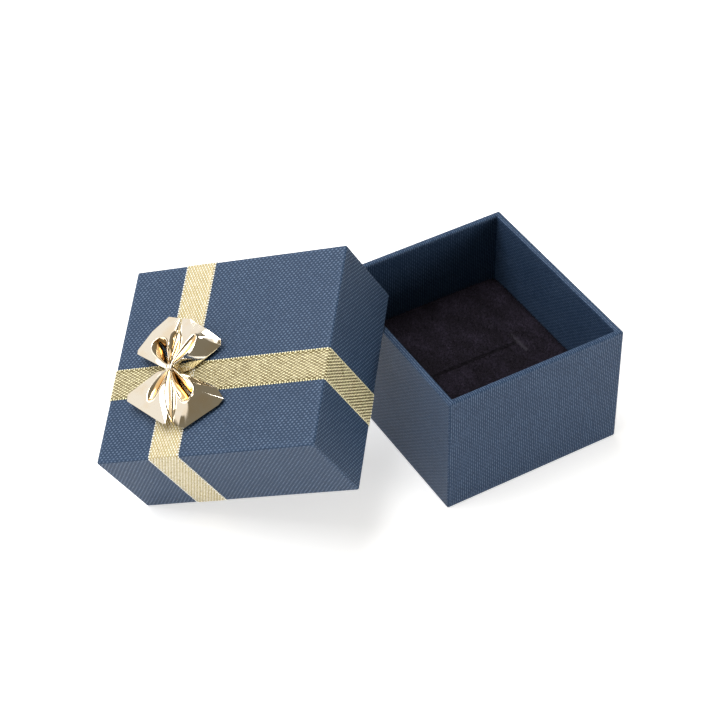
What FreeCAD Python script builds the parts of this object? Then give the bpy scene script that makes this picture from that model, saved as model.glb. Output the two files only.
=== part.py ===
"""Two-piece jewellery gift box: wrapped board base, loose ribboned lid with a foil bow, slit velvet pad.

The lid lies open against the base: one rim corner stands on the ground and two rim edges rest on the
base's left wall.  Units are millimetres.  The origin is the centre of the base's underside and +Z is up.
Lid pieces are drawn in the lid's own frame (rim plane at zero, top panel upwards, sides parallel to the
base's sides when the box is shut) and are then moved to the leaning position together.
"""
import FreeCAD, Part
import Sketcher
import math
import os

DRIVING_DIMENSIONS = [
    # alias, value, what it is
    ("BaseWidth", 45.0, "base, outside, along X"),
    ("BaseDepth", 50.0, "base, outside, along Y"),
    ("BaseTall", 31.5, "base, ground to rim"),
    ("BaseBoard", 1.2, "thickness of the base's board"),
    ("Paper", 0.15, "thickness of the covering and lining papers"),
    ("StayTape", 0.1, "thickness of the corner stay tape, pressed into the board"),
    ("StayLeg", 9.0, "width of a corner stay on each wall"),
    ("StayEnd", 1.0, "corner stay, short of the board's top and bottom"),
    ("CornerRound", 0.4, "outside radius of the upright covered corners"),
    ("BaseTurnIn", 20.0, "covering paper turned down inside the base"),
    ("FootFlap", 8.0, "covering paper turned under the base"),
    ("FootInset", 1.0, "bottom sheet, set back from the base's sides"),
    ("LinerGap", 0.3, "lining sheets, clear of the walls on each side"),
    ("PadGap", 0.35, "pad, clear of the base's walls on each side"),
    ("PadTall", 12.9, "pad, card to velvet"),
    ("PadCard", 0.8, "thickness of the card under the pad"),
    ("Velvet", 0.6, "thickness of the velvet"),
    ("VelvetLap", 5.0, "velvet glued under the card"),
    ("SlitLength", 24.2, "ring slit, along X"),
    ("SlitWide", 0.5, "ring slit, across"),
    ("SlitDeep", 9.0, "ring slit, depth into the pad"),
    ("CrossCut", 6.5, "short cut across each end of the slit"),
    ("LidClearance", 0.25, "lid to base on each side when shut"),
    ("LidBoard", 0.85, "thickness of the lid's board"),
    ("LidTall", 21.5, "lid, rim to top"),
    ("LidTurnIn", 14.0, "covering paper turned up inside the lid"),
    ("LidYaw", 47.0, "lid turned about its own upright axis"),
    ("LidOverhang", 6.45, "lid's upper corner past the base's rim, along the slope"),
    ("LidCornerY", 10.07, "Y of the lid corner that stands on the ground"),
    ("LeanGap", 0.1, "lid's rim above the base's rim where it leans"),
    ("RibbonWide", 7.2, "width of both ribbons"),
    ("RibbonThick", 0.15, "thickness of both ribbons"),
    ("RibbonTuck", 8.0, "ribbon ends glued up inside the lid"),
    ("RibbonRamp", 1.0, "length over which the upper ribbon climbs the lower one"),
    ("LongRibbonX", -5.0, "lid X of the ribbon along the lid's long side"),
    ("CrossRibbonY", 9.5, "lid Y of the ribbon across the lid"),
    ("BowShiftX", 0.4, "bow centre past the ribbon crossing, lid X"),
    ("BowShiftY", -0.3, "bow centre past the ribbon crossing, lid Y"),
    ("BowScale", 1.0, "size of the bow's outline, 1 for a bow 24 wide"),
    ("BowTall", 4.6, "bow loops above the ribbon crossing"),
    ("NeckHalf", 1.0, "half the width of the pinched necks"),
    ("NeckReach", 1.6, "half the length of the pinched necks"),
    ("TieBand", 1.4, "width of the band that holds the necks"),
    ("TieThick", 0.25, "thickness of that band"),
    ("TieGap", 0.05, "band to neck, each side"),
    ("GlueRadius", 3.0, "glue dot, radius"),
    ("GlueTall", 0.5, "glue dot, height"),
]

DERIVED_DIMENSIONS = [
    # alias, formula, what it is
    ("BaseWall", "BaseBoard + 2 * Paper", "finished base wall"),
    ("BaseFloor", "2 * Paper + BaseBoard", "ground to the top of the base's board"),
    ("PadFoot", "BaseFloor + Paper", "ground to the pad's underside"),
    ("PadWidth", "BaseWidth - 2 * (BaseWall + PadGap)", "pad, along X"),
    ("PadDepth", "BaseDepth - 2 * (BaseWall + PadGap)", "pad, along Y"),
    ("PadTop", "PadFoot + PadTall", "ground to the top of the velvet"),
    ("LidWall", "LidBoard + 2 * Paper", "finished lid wall"),
    ("LidWidth", "BaseWidth + 2 * (LidClearance + LidWall)", "lid, outside, lid X"),
    ("LidDepth", "BaseDepth + 2 * (LidClearance + LidWall)", "lid, outside, lid Y"),
    ("SlopeRun", "LidWidth * cos(LidYaw) + LidDepth * sin(LidYaw)",
     "lid, low corner to high corner, along the slope"),
    ("LidTilt", "asin((BaseTall + LeanGap) / (SlopeRun - LidOverhang))", "slope of the leaning lid"),
    ("LidCentreX", "SlopeRun / 2 * cos(LidTilt) - BaseWidth / 2 - (BaseTall + LeanGap) / tan(LidTilt)",
     "X of the middle of the lid's rim"),
    ("LidCentreY", "LidCornerY - (LidDepth * cos(LidYaw) - LidWidth * sin(LidYaw)) / 2",
     "Y of the middle of the lid's rim"),
    ("LidCentreZ", "SlopeRun / 2 * sin(LidTilt)", "Z of the middle of the lid's rim"),
    ("BowFoot", "LidTall + 2 * RibbonThick", "lid frame, top of the ribbon crossing"),
    ("NeckFoot", "BowFoot + GlueTall", "lid frame, underside of the lower neck"),
    ("NeckTall", "(BowTall - GlueTall - TieThick) / 2", "height of each neck"),
    ("NotchHalf", "TieBand / 2 + TieGap", "half the width of the slot for the band's leg"),
    ("LegOut", "NeckHalf + TieGap + TieThick", "outside of the band's leg"),
    ("LobeStart", "LegOut + TieGap", "edge of the loops next to the band's leg"),
]

# The bow is drawn with X along the lid's long side and Y across the lid, about its pinched centre.
UPPER_LOOPS = [(-5.2, 2.4), (-10.2, 5.2), (-10.8, 6.6), (-8.0, 10.8), (-4.3, 14.0), (-1.0, 13.0),
               (9.6, 6.6), (3.2, 2.0)]
LOWER_LOOPS = [(4.6, -2.2), (10.3, -4.3), (12.6, -7.3), (3.6, -13.2), (1.6, -12.0), (0.2, -12.8),
               (-11.2, -5.5), (-10.8, -4.3), (-4.0, -2.0)]

LID_PLACEMENT = (
    "placement(vector(Dims.LidCentreX; Dims.LidCentreY; Dims.LidCentreZ);"
    " rotation(vector(0; 1; 0); -Dims.LidTilt) * rotation(vector(0; 0; 1); Dims.LidYaw))"
)
BOW_PLACEMENT = LID_PLACEMENT + (
    " * placement(vector(Dims.LongRibbonX + Dims.BowShiftX; Dims.CrossRibbonY + Dims.BowShiftY; 0);"
    " rotation(vector(0; 0; 1); -90))"
)

doc = FreeCAD.newDocument("JewelleryGiftBox")
nodes = []


def make_sheet():
    """Write the driving dimensions and the ones worked out from them."""
    sheet = doc.addObject("Spreadsheet::Sheet", "Dims")
    rows = [(alias, str(value), note) for alias, value, note in DRIVING_DIMENSIONS]
    rows += [(alias, "=" + formula, note) for alias, formula, note in DERIVED_DIMENSIONS]
    for row, (alias, content, note) in enumerate(rows, start=1):
        sheet.set(f"A{row}", alias)
        sheet.set(f"B{row}", content)
        sheet.set(f"C{row}", note)
        sheet.setAlias(f"B{row}", alias)
    doc.recompute()


def make_body(label, placement=None):
    """Start the body of one sub-part and list it for export."""
    body = doc.addObject("PartDesign::Body", label)
    body.Label = label
    if placement:
        body.setExpression("Placement", placement)
    nodes.append(body)
    return body


def make_sketch(body, name, level="0", role="XY_Plane"):
    """Attach a sketch to one of the body's own origin planes, at a level along its normal."""
    sketch = body.newObject("Sketcher::SketchObject", body.Label + "_" + name)
    plane = next(item for item in body.Origin.OriginFeatures if item.Role == role)
    sketch.AttachmentSupport = [(plane, "")]
    sketch.MapMode = "FlatFace"
    sketch.setExpression("AttachmentOffset.Base.z", level)
    return sketch


def value_of(expression):
    """Work out an expression as a plain number."""
    result = nodes[0].evalExpression(expression)
    return float(getattr(result, "Value", result))


def bind(sketch, constraint, expression):
    """Add a driving constraint whose value follows an expression."""
    index = sketch.addConstraint(constraint)
    sketch.setExpression(f"Constraints[{index}]", expression)


def add_polygon(sketch, corners):
    """Draw a closed outline; each corner is a pair of expressions measured from the sketch's origin."""
    points = [FreeCAD.Vector(value_of(x), value_of(y), 0) for x, y in corners]
    first = sketch.GeometryCount
    count = len(points)
    for index, point in enumerate(points):
        sketch.addGeometry(Part.LineSegment(point, points[(index + 1) % count]), False)
    for index in range(count):
        following = first + (index + 1) % count
        sketch.addConstraint(Sketcher.Constraint("Coincident", first + index, 2, following, 1))
    for index, (x, y) in enumerate(corners):
        line = first + index
        bind(sketch, Sketcher.Constraint("DistanceX", -1, 1, line, 1, points[index].x), x)
        bind(sketch, Sketcher.Constraint("DistanceY", -1, 1, line, 1, points[index].y), y)


def add_rectangle(sketch, width, depth):
    """Draw a rectangle centred on the sketch's origin."""
    left, right = f"-({width}) / 2", f"({width}) / 2"
    near, far = f"-({depth}) / 2", f"({depth}) / 2"
    add_polygon(sketch, [(left, near), (right, near), (right, far), (left, far)])


def add_rounded_rectangle(sketch, width, depth, radius):
    """Draw a rectangle with rounded corners, centred on the sketch's origin."""
    half_x, half_y, r = value_of(width) / 2, value_of(depth) / 2, value_of(radius)
    first = sketch.GeometryCount
    axis = FreeCAD.Vector(0, 0, 1)
    x, y = half_x - r, half_y - r
    for quarter, (x, y) in enumerate([(x, y), (-x, y), (-x, -y), (x, -y)]):
        circle = Part.Circle(FreeCAD.Vector(x, y, 0), axis, r)
        start = quarter * math.pi / 2
        sketch.addGeometry(Part.ArcOfCircle(circle, start, start + math.pi / 2), False)
    for quarter in range(4):
        arc, following = first + quarter, first + (quarter + 1) % 4
        begin, end = sketch.getPoint(arc, 2), sketch.getPoint(following, 1)
        side = sketch.addGeometry(Part.LineSegment(begin, end), False)
        sketch.addConstraint(Sketcher.Constraint("Tangent", arc, 2, side, 1))
        sketch.addConstraint(Sketcher.Constraint("Tangent", side, 2, following, 1))
        sketch.addConstraint(Sketcher.Constraint("Vertical" if quarter % 2 else "Horizontal", side))
    for quarter in range(1, 4):
        sketch.addConstraint(Sketcher.Constraint("Equal", first, first + quarter))
    sketch.addConstraint(Sketcher.Constraint("Symmetric", first, 3, first + 2, 3, -1, 1))
    bind(sketch, Sketcher.Constraint("Radius", first, r), radius)
    spread_x, spread_y = f"({width}) - 2 * ({radius})", f"({depth}) - 2 * ({radius})"
    bind(sketch, Sketcher.Constraint("DistanceX", first + 1, 3, first, 3, 2 * (half_x - r)), spread_x)
    bind(sketch, Sketcher.Constraint("DistanceY", first + 3, 3, first, 3, 2 * (half_y - r)), spread_y)


def raise_pad(body, sketch, height, midplane=False):
    """Pad a sketch along its normal."""
    pad = body.newObject("PartDesign::Pad", sketch.Name + "_pad")
    pad.Profile = sketch
    pad.Midplane = midplane
    pad.setExpression("Length", height)
    doc.recompute()


def cut_pocket(body, sketch, depth):
    """Cut a pocket that runs along the sketch's normal, and make sure that it removes material."""
    before = body.Shape.Volume
    pocket = body.newObject("PartDesign::Pocket", sketch.Name + "_pocket")
    pocket.Profile = sketch
    pocket.Reversed = True
    pocket.setExpression("Length", depth)
    doc.recompute()
    if body.Shape.Volume >= before:
        raise RuntimeError(f"{pocket.Name} removes nothing")


def corner_outline(sign_x, sign_y, half_x, half_y, leg):
    """Outline of an L that lies along both walls of one upright corner, outer faces flush with the board."""
    inner_x, inner_y = f"({half_x} - Dims.StayTape)", f"({half_y} - Dims.StayTape)"
    far_x, far_y = f"({half_x} - {leg})", f"({half_y} - {leg})"
    corners = [(half_x, half_y), (half_x, far_y), (inner_x, far_y), (inner_x, inner_y), (far_x, inner_y),
               (far_x, half_y)]
    return [(f"{sign_x} * {x}", f"{sign_y} * {y}") for x, y in corners]


CORNERS = {"front_left": (-1, -1), "front_right": (1, -1), "back_right": (1, 1), "back_left": (-1, 1)}


def add_board_corners(body, name, half_x, half_y, level, height):
    """Press the four corner stays into the board."""
    sketch = make_sketch(body, name, f"{level} + Dims.StayEnd")
    for sign_x, sign_y in CORNERS.values():
        add_polygon(sketch, corner_outline(sign_x, sign_y, half_x, half_y, "Dims.StayLeg"))
    cut_pocket(body, sketch, f"{height} - 2 * Dims.StayEnd")


def make_corner_stays(prefix, half_x, half_y, level, height, placement=None):
    """Make the four strips of tape that hold the board's corners together."""
    for corner, (sign_x, sign_y) in CORNERS.items():
        body = make_body(f"{prefix}_corner_stay_{corner}", placement)
        sketch = make_sketch(body, "outline", f"{level} + Dims.StayEnd")
        add_polygon(sketch, corner_outline(sign_x, sign_y, half_x, half_y, "Dims.StayLeg"))
        raise_pad(body, sketch, f"{height} - 2 * Dims.StayEnd")


def make_flat_sheet(label, width, depth, level, thickness, placement=None):
    """Make a plain rectangular sheet."""
    body = make_body(label, placement)
    sketch = make_sketch(body, "outline", level)
    add_rectangle(sketch, width, depth)
    raise_pad(body, sketch, thickness)


def make_base():
    """Build the base: folded board, corner stays, covering paper, bottom sheet and floor lining."""
    board_x, board_y = "Dims.BaseWidth - 2 * Dims.Paper", "Dims.BaseDepth - 2 * Dims.Paper"
    inner_x, inner_y = f"{board_x} - 2 * Dims.BaseBoard", f"{board_y} - 2 * Dims.BaseBoard"
    half_x, half_y = "(Dims.BaseWidth / 2 - Dims.Paper)", "(Dims.BaseDepth / 2 - Dims.Paper)"
    foot, tall = "2 * Dims.Paper", "Dims.BaseTall - 3 * Dims.Paper"

    board = make_body("base_board")
    outline = make_sketch(board, "outline", foot)
    add_rectangle(outline, board_x, board_y)
    raise_pad(board, outline, tall)
    hollow = make_sketch(board, "hollow", "Dims.BaseFloor")
    add_rectangle(hollow, inner_x, inner_y)
    cut_pocket(board, hollow, "Dims.BaseTall")
    add_board_corners(board, "stay_seats", half_x, half_y, foot, tall)

    make_corner_stays("base", half_x, half_y, foot, tall)

    wrap = make_body("base_wrap")
    outline = make_sketch(wrap, "outline", "Dims.Paper")
    add_rounded_rectangle(outline, "Dims.BaseWidth", "Dims.BaseDepth", "Dims.CornerRound")
    raise_pad(wrap, outline, "Dims.BaseTall - Dims.Paper")
    turn_level = "Dims.BaseTall - Dims.BaseTurnIn"
    below = make_sketch(wrap, "below_turn_in", foot)
    add_rectangle(below, board_x, board_y)
    cut_pocket(wrap, below, f"{turn_level} - {foot}")
    slot = make_sketch(wrap, "board_slot", turn_level)
    add_rectangle(slot, board_x, board_y)
    add_rectangle(slot, inner_x, inner_y)
    cut_pocket(wrap, slot, "Dims.BaseTurnIn - Dims.Paper")
    mouth = make_sketch(wrap, "mouth", turn_level)
    add_rectangle(mouth, f"{inner_x} - 2 * Dims.Paper", f"{inner_y} - 2 * Dims.Paper")
    cut_pocket(wrap, mouth, "Dims.BaseTurnIn")
    window = make_sketch(wrap, "foot_window", "Dims.Paper")
    add_rectangle(window, "Dims.BaseWidth - 2 * Dims.FootFlap", "Dims.BaseDepth - 2 * Dims.FootFlap")
    cut_pocket(wrap, window, "Dims.Paper")

    make_flat_sheet("base_bottom_sheet", "Dims.BaseWidth - 2 * Dims.FootInset",
                    "Dims.BaseDepth - 2 * Dims.FootInset", "0", "Dims.Paper")
    make_flat_sheet("base_floor_liner", f"{inner_x} - 2 * Dims.LinerGap", f"{inner_y} - 2 * Dims.LinerGap",
                    "Dims.BaseFloor", "Dims.Paper")


def add_slit(body):
    """Cut the ring slit and its two end cuts down from the top of the pad."""
    half_cut, half_slit = "(Dims.CrossCut / 2)", "(Dims.SlitWide / 2)"
    end, near = "(Dims.SlitLength / 2)", "(Dims.SlitLength / 2 - Dims.SlitWide)"
    corners = [(end, half_cut), (near, half_cut), (near, half_slit)]
    outline = corners + [(f"-{x}", y) for x, y in reversed(corners)]
    outline += [(f"-{x}", f"-{y}") for x, y in corners] + [(x, f"-{y}") for x, y in reversed(corners)]
    sketch = make_sketch(body, "slit", "Dims.PadTop - Dims.SlitDeep")
    add_polygon(sketch, outline)
    cut_pocket(body, sketch, "Dims.SlitDeep")


def make_insert():
    """Build the pad: a card, a foam block with the ring slit, and the velvet wrapped over both."""
    velvet = make_body("insert_velvet")
    outline = make_sketch(velvet, "outline", "Dims.PadFoot")
    add_rounded_rectangle(outline, "Dims.PadWidth", "Dims.PadDepth", "Dims.Velvet + Dims.CornerRound")
    raise_pad(velvet, outline, "Dims.PadTall")
    core_x, core_y = "Dims.PadWidth - 2 * Dims.Velvet", "Dims.PadDepth - 2 * Dims.Velvet"
    hollow = make_sketch(velvet, "hollow", "Dims.PadFoot + Dims.Velvet")
    add_rectangle(hollow, core_x, core_y)
    cut_pocket(velvet, hollow, "Dims.PadTall - 2 * Dims.Velvet")
    window = make_sketch(velvet, "lap_window", "Dims.PadFoot")
    add_rectangle(window, "Dims.PadWidth - 2 * Dims.VelvetLap", "Dims.PadDepth - 2 * Dims.VelvetLap")
    cut_pocket(velvet, window, "Dims.Velvet")
    add_slit(velvet)

    foam = make_body("insert_foam")
    block = make_sketch(foam, "block", "Dims.PadFoot + Dims.Velvet + Dims.PadCard")
    add_rectangle(block, core_x, core_y)
    raise_pad(foam, block, "Dims.PadTall - 2 * Dims.Velvet - Dims.PadCard")
    add_slit(foam)

    make_flat_sheet("insert_card", core_x, core_y, "Dims.PadFoot + Dims.Velvet", "Dims.PadCard")


def make_lid():
    """Build the lid's own shell: folded board, corner stays, covering paper and top lining."""
    board_x, board_y = "Dims.LidWidth - 2 * Dims.Paper", "Dims.LidDepth - 2 * Dims.Paper"
    inner_x, inner_y = f"{board_x} - 2 * Dims.LidBoard", f"{board_y} - 2 * Dims.LidBoard"
    half_x, half_y = "(Dims.LidWidth / 2 - Dims.Paper)", "(Dims.LidDepth / 2 - Dims.Paper)"
    tall = "Dims.LidTall - 2 * Dims.Paper"

    board = make_body("lid_board", LID_PLACEMENT)
    outline = make_sketch(board, "outline", "Dims.Paper")
    add_rectangle(outline, board_x, board_y)
    raise_pad(board, outline, tall)
    hollow = make_sketch(board, "hollow", "Dims.Paper")
    add_rectangle(hollow, inner_x, inner_y)
    cut_pocket(board, hollow, f"{tall} - Dims.LidBoard")
    add_board_corners(board, "stay_seats", half_x, half_y, "Dims.Paper", tall)

    make_corner_stays("lid", half_x, half_y, "Dims.Paper", tall, LID_PLACEMENT)

    wrap = make_body("lid_wrap", LID_PLACEMENT)
    outline = make_sketch(wrap, "outline")
    add_rounded_rectangle(outline, "Dims.LidWidth", "Dims.LidDepth", "Dims.CornerRound")
    raise_pad(wrap, outline, "Dims.LidTall")
    above = make_sketch(wrap, "above_turn_in", "Dims.LidTurnIn")
    add_rectangle(above, board_x, board_y)
    cut_pocket(wrap, above, "Dims.LidTall - Dims.Paper - Dims.LidTurnIn")
    slot = make_sketch(wrap, "board_slot", "Dims.Paper")
    add_rectangle(slot, board_x, board_y)
    add_rectangle(slot, inner_x, inner_y)
    cut_pocket(wrap, slot, "Dims.LidTurnIn - Dims.Paper")
    mouth = make_sketch(wrap, "mouth")
    add_rectangle(mouth, f"{inner_x} - 2 * Dims.Paper", f"{inner_y} - 2 * Dims.Paper")
    cut_pocket(wrap, mouth, "Dims.LidTurnIn")

    make_flat_sheet("lid_liner", f"{inner_x} - 2 * Dims.LinerGap", f"{inner_y} - 2 * Dims.LinerGap",
                    "Dims.LidTall - 2 * Dims.Paper - Dims.LidBoard", "Dims.Paper", LID_PLACEMENT)


def ribbon_outline(half_span, hump=None):
    """Outline of a ribbon seen from its edge: over the top, down both sides, round the rim, tucked inside."""
    thick, top = "Dims.RibbonThick", "Dims.LidTall"
    out, inside, tuck = f"({half_span} + {thick})", f"({half_span} - Dims.LidWall)", "Dims.RibbonTuck"
    end = f"({inside} - {thick})"
    side = [(out, f"{top} + {thick}"), (out, f"-{thick}"), (end, f"-{thick}"), (end, tuck), (inside, tuck),
            (inside, "0"), (half_span, "0"), (half_span, top)]
    outline = side + [(f"-{x}", z) for x, z in reversed(side)]
    if hump:
        steps = [(f"({hump} + {reach})", rise) for reach, rise in (
            ("Dims.RibbonWide / 2 + Dims.RibbonRamp", "0"), ("Dims.RibbonWide / 2", thick),
            ("-Dims.RibbonWide / 2", thick), ("-Dims.RibbonWide / 2 - Dims.RibbonRamp", "0"))]
        under = [(x, f"{top} + {rise}") for x, rise in steps]
        over = [(x, f"{top} + {thick} + {rise}") for x, rise in reversed(steps)]
        outline = side + under + outline[len(side):] + over
    return outline


def make_ribbons():
    """Build the two ribbons; the one across the lid lies over the one along it."""
    long_ribbon = make_body("ribbon_long", LID_PLACEMENT)
    profile = make_sketch(long_ribbon, "profile", "Dims.LongRibbonX", role="YZ_Plane")
    add_polygon(profile, ribbon_outline("(Dims.LidDepth / 2)"))
    raise_pad(long_ribbon, profile, "Dims.RibbonWide", midplane=True)

    cross_ribbon = make_body("ribbon_cross", LID_PLACEMENT)
    profile = make_sketch(cross_ribbon, "profile", "-Dims.CrossRibbonY", role="XZ_Plane")
    add_polygon(profile, ribbon_outline("(Dims.LidWidth / 2)", hump="Dims.LongRibbonX"))
    raise_pad(cross_ribbon, profile, "Dims.RibbonWide", midplane=True)


def make_loop_strip(label, outline, side, neck_level):
    """Build one foil strip of the bow: a loop on each side and the pinched neck that joins them."""
    body = make_body(label, BOW_PLACEMENT)
    start, reach, notch, neck = "Dims.LobeStart", "Dims.NeckReach", "Dims.NotchHalf", "Dims.NeckHalf"
    loops = [(f"{x} * Dims.BowScale", f"{y} * Dims.BowScale") for x, y in outline]
    waist = [(f"{side} * {x}", f"{side} * {y}") for x, y in (
        (reach, neck), (notch, neck), (notch, start), (f"-{notch}", start), (f"-{notch}", neck),
        (f"-{reach}", neck))]
    sketch = make_sketch(body, "loops", "Dims.NeckFoot")
    add_polygon(sketch, loops + waist)
    raise_pad(body, sketch, "2 * Dims.NeckTall")
    sketch = make_sketch(body, "neck", neck_level)
    add_rectangle(sketch, f"2 * {reach}", f"2 * {neck}")
    raise_pad(body, sketch, "Dims.NeckTall")


def make_bow():
    """Build the bow: two crossed strips of loops, the band that ties them and the dot that glues it down."""
    make_loop_strip("bow_upper_loops", UPPER_LOOPS, 1, "Dims.NeckFoot + Dims.NeckTall")
    make_loop_strip("bow_lower_loops", LOWER_LOOPS, -1, "Dims.NeckFoot")

    band = make_body("bow_tie_band", BOW_PLACEMENT)
    top, crown = "Dims.BowFoot + Dims.BowTall", "Dims.BowFoot + Dims.BowTall - Dims.TieThick"
    outer, inner, foot = "Dims.LegOut", "(Dims.LegOut - Dims.TieThick)", "Dims.NeckFoot"
    profile = make_sketch(band, "profile", role="YZ_Plane")
    right = [(outer, top), (outer, foot), (inner, foot), (inner, crown)]
    add_polygon(profile, right + [(f"-{y}", z) for y, z in reversed(right)])
    raise_pad(band, profile, "Dims.TieBand", midplane=True)

    dot = make_body("bow_glue_dot", BOW_PLACEMENT)
    sketch = make_sketch(dot, "outline", "Dims.BowFoot")
    centre, axis = FreeCAD.Vector(0, 0, 0), FreeCAD.Vector(0, 0, 1)
    sketch.addGeometry(Part.Circle(centre, axis, value_of("Dims.GlueRadius")), False)
    sketch.addConstraint(Sketcher.Constraint("Coincident", 0, 3, -1, 1))
    bind(sketch, Sketcher.Constraint("Radius", 0, 3), "Dims.GlueRadius")
    raise_pad(dot, sketch, "Dims.GlueTall")


def check_document():
    """Refuse to export anything from a document with a failed feature or a bad shape."""
    for item in doc.Objects:
        if "Invalid" in item.State or "Error" in item.State:
            raise RuntimeError(f"{item.Label} failed: {item.State}")
    for node in nodes:
        if node.Shape.isNull() or not node.Shape.isValid() or not node.Shape.Solids:
            raise RuntimeError(f"{node.Label} has no valid solid")


def export_nodes():
    """Write one STEP file for each sub-part."""
    os.makedirs("parts", exist_ok=True)
    for node in nodes:
        node.Shape.exportStep(f"parts/{node.Label}.step")
        print(f"{node.Label:32s} {len(node.Shape.Solids)} solid(s) {node.Shape.Volume:10.2f} mm3")


make_sheet()
make_base()
make_insert()
make_lid()
make_ribbons()
make_bow()
doc.recompute()
check_document()
export_nodes()
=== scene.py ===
"""Looks of a two-piece jewellery gift box: papered base, leaning ribboned lid with a foil bow, velvet pad.

Every length in a class is in millimetres unless its docstring says otherwise; meshes are written in metres.
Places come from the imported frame, and each piece rides on the body that it belongs to.
"""

import logging
import math
from dataclasses import dataclass, field
from enum import Enum

import bmesh
import bpy
import numpy as np
from mathutils import Matrix, Vector


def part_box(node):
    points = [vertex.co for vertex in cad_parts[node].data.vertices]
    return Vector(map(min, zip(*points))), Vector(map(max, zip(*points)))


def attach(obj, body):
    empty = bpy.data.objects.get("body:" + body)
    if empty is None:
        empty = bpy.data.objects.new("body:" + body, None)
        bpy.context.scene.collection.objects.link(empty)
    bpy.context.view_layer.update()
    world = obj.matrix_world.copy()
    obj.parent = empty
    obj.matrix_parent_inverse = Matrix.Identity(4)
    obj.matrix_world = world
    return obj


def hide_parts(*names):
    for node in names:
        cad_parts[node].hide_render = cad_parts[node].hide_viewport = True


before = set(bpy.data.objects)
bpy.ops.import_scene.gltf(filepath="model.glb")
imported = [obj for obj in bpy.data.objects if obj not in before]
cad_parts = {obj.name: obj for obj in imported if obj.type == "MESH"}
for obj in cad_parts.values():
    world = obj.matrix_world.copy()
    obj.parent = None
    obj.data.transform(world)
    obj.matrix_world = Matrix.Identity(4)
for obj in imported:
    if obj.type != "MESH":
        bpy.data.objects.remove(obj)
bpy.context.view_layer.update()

log = logging.getLogger("gift_box")
MM = 0.001
Point = tuple[float, float, float]
Colour = tuple[float, float, float]
Pair = tuple[float, float]
Socket = bpy.types.NodeSocket
Material = bpy.types.Material
Piece = bpy.types.Object


class Body(Enum):
    """The three loose parts of the box."""

    BASE = "base"
    INSERT = "insert"
    LID = "lid"


# ---------------------------------------------------------------- finishes


class Wiring:
    """Short calls that add and link the nodes of one node tree."""

    def __init__(self, tree: bpy.types.NodeTree) -> None:
        """Keep the tree.

        Args:
            tree: The node tree to fill.
        """
        self.tree = tree

    def add(self, kind: str, inputs: dict | None = None, **settings: object) -> bpy.types.Node:
        """Add a node.

        Args:
            kind: Type name of the node.
            inputs: Input name or index, with a plain value or a socket to link from.
            settings: Attributes of the node.

        Returns:
            The new node.
        """
        node = self.tree.nodes.new(kind)
        for key, value in settings.items():
            setattr(node, key, value)
        for key, value in (inputs or {}).items():
            self.feed(node.inputs[key], value)
        return node

    def feed(self, socket: Socket, value: object) -> None:
        """Give a socket a plain value, or link it.

        Args:
            socket: The input to set.
            value: A socket to link from, or a plain value.
        """
        if isinstance(value, Socket):
            self.tree.links.new(value, socket)
        else:
            socket.default_value = value

    def math(self, operation: str, *values: object) -> Socket:
        """Combine numbers.

        Args:
            operation: Name of the operation.
            values: Numbers or sockets.

        Returns:
            The result's socket.
        """
        kind = "ShaderNodeMath"
        return self.add(kind, dict(enumerate(values)), operation=operation).outputs[0]

    def vector(self, operation: str, *values: object) -> Socket:
        """Combine vectors.

        Args:
            operation: Name of the operation.
            values: Vectors or sockets.

        Returns:
            The result's socket.
        """
        node = self.add("ShaderNodeVectorMath", dict(enumerate(values)), operation=operation)
        return node.outputs["Value" if operation == "DOT_PRODUCT" else "Vector"]

    def scaled(self, vector: object, share: object) -> Socket:
        """Multiply a vector by a number."""
        return self.add("ShaderNodeVectorMath", {0: vector, "Scale": share}, operation="SCALE").outputs[0]

    def ramp(self, value: object, low: float, high: float, out_low: float = 0.0, out_high: float = 1.0,
             smooth: bool = True) -> Socket:
        """Map one range to another, clamped.

        Args:
            value: The number to map.
            low: Value that gives out_low.
            high: Value that gives out_high.
            out_low: Result at low.
            out_high: Result at high.
            smooth: True for an S-shaped change.

        Returns:
            The result's socket.
        """
        kind = "SMOOTHSTEP" if smooth else "LINEAR"
        node = self.add("ShaderNodeMapRange", interpolation_type=kind)
        for key, number in enumerate((value, low, high, out_low, out_high)):
            self.feed(node.inputs[key], number)
        return node.outputs[0]

    def blend(self, share: object, first: object, second: object) -> Socket:
        """Mix two colours.

        Args:
            share: How much of the second colour.
            first: Colour or socket.
            second: Colour or socket.

        Returns:
            The result's socket.
        """
        node = self.add("ShaderNodeMix", data_type="RGBA")
        for key, value in ((0, share), (6, first), (7, second)):
            self.feed(node.inputs[key], (*value, 1.0) if isinstance(value, tuple) else value)
        return node.outputs[2]

    def noise(self, place: object, scale: float, detail: float, rough: float = 0.5) -> Socket:
        """Add a noise pattern.

        Args:
            place: Coordinates.
            scale: Cells per unit of the coordinates.
            detail: Number of finer layers.
            rough: Strength of the finer layers.

        Returns:
            The pattern's value socket.
        """
        inputs = {"Vector": place, "Scale": scale, "Detail": detail, "Roughness": rough}
        return self.add("ShaderNodeTexNoise", inputs).outputs[0]


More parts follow.
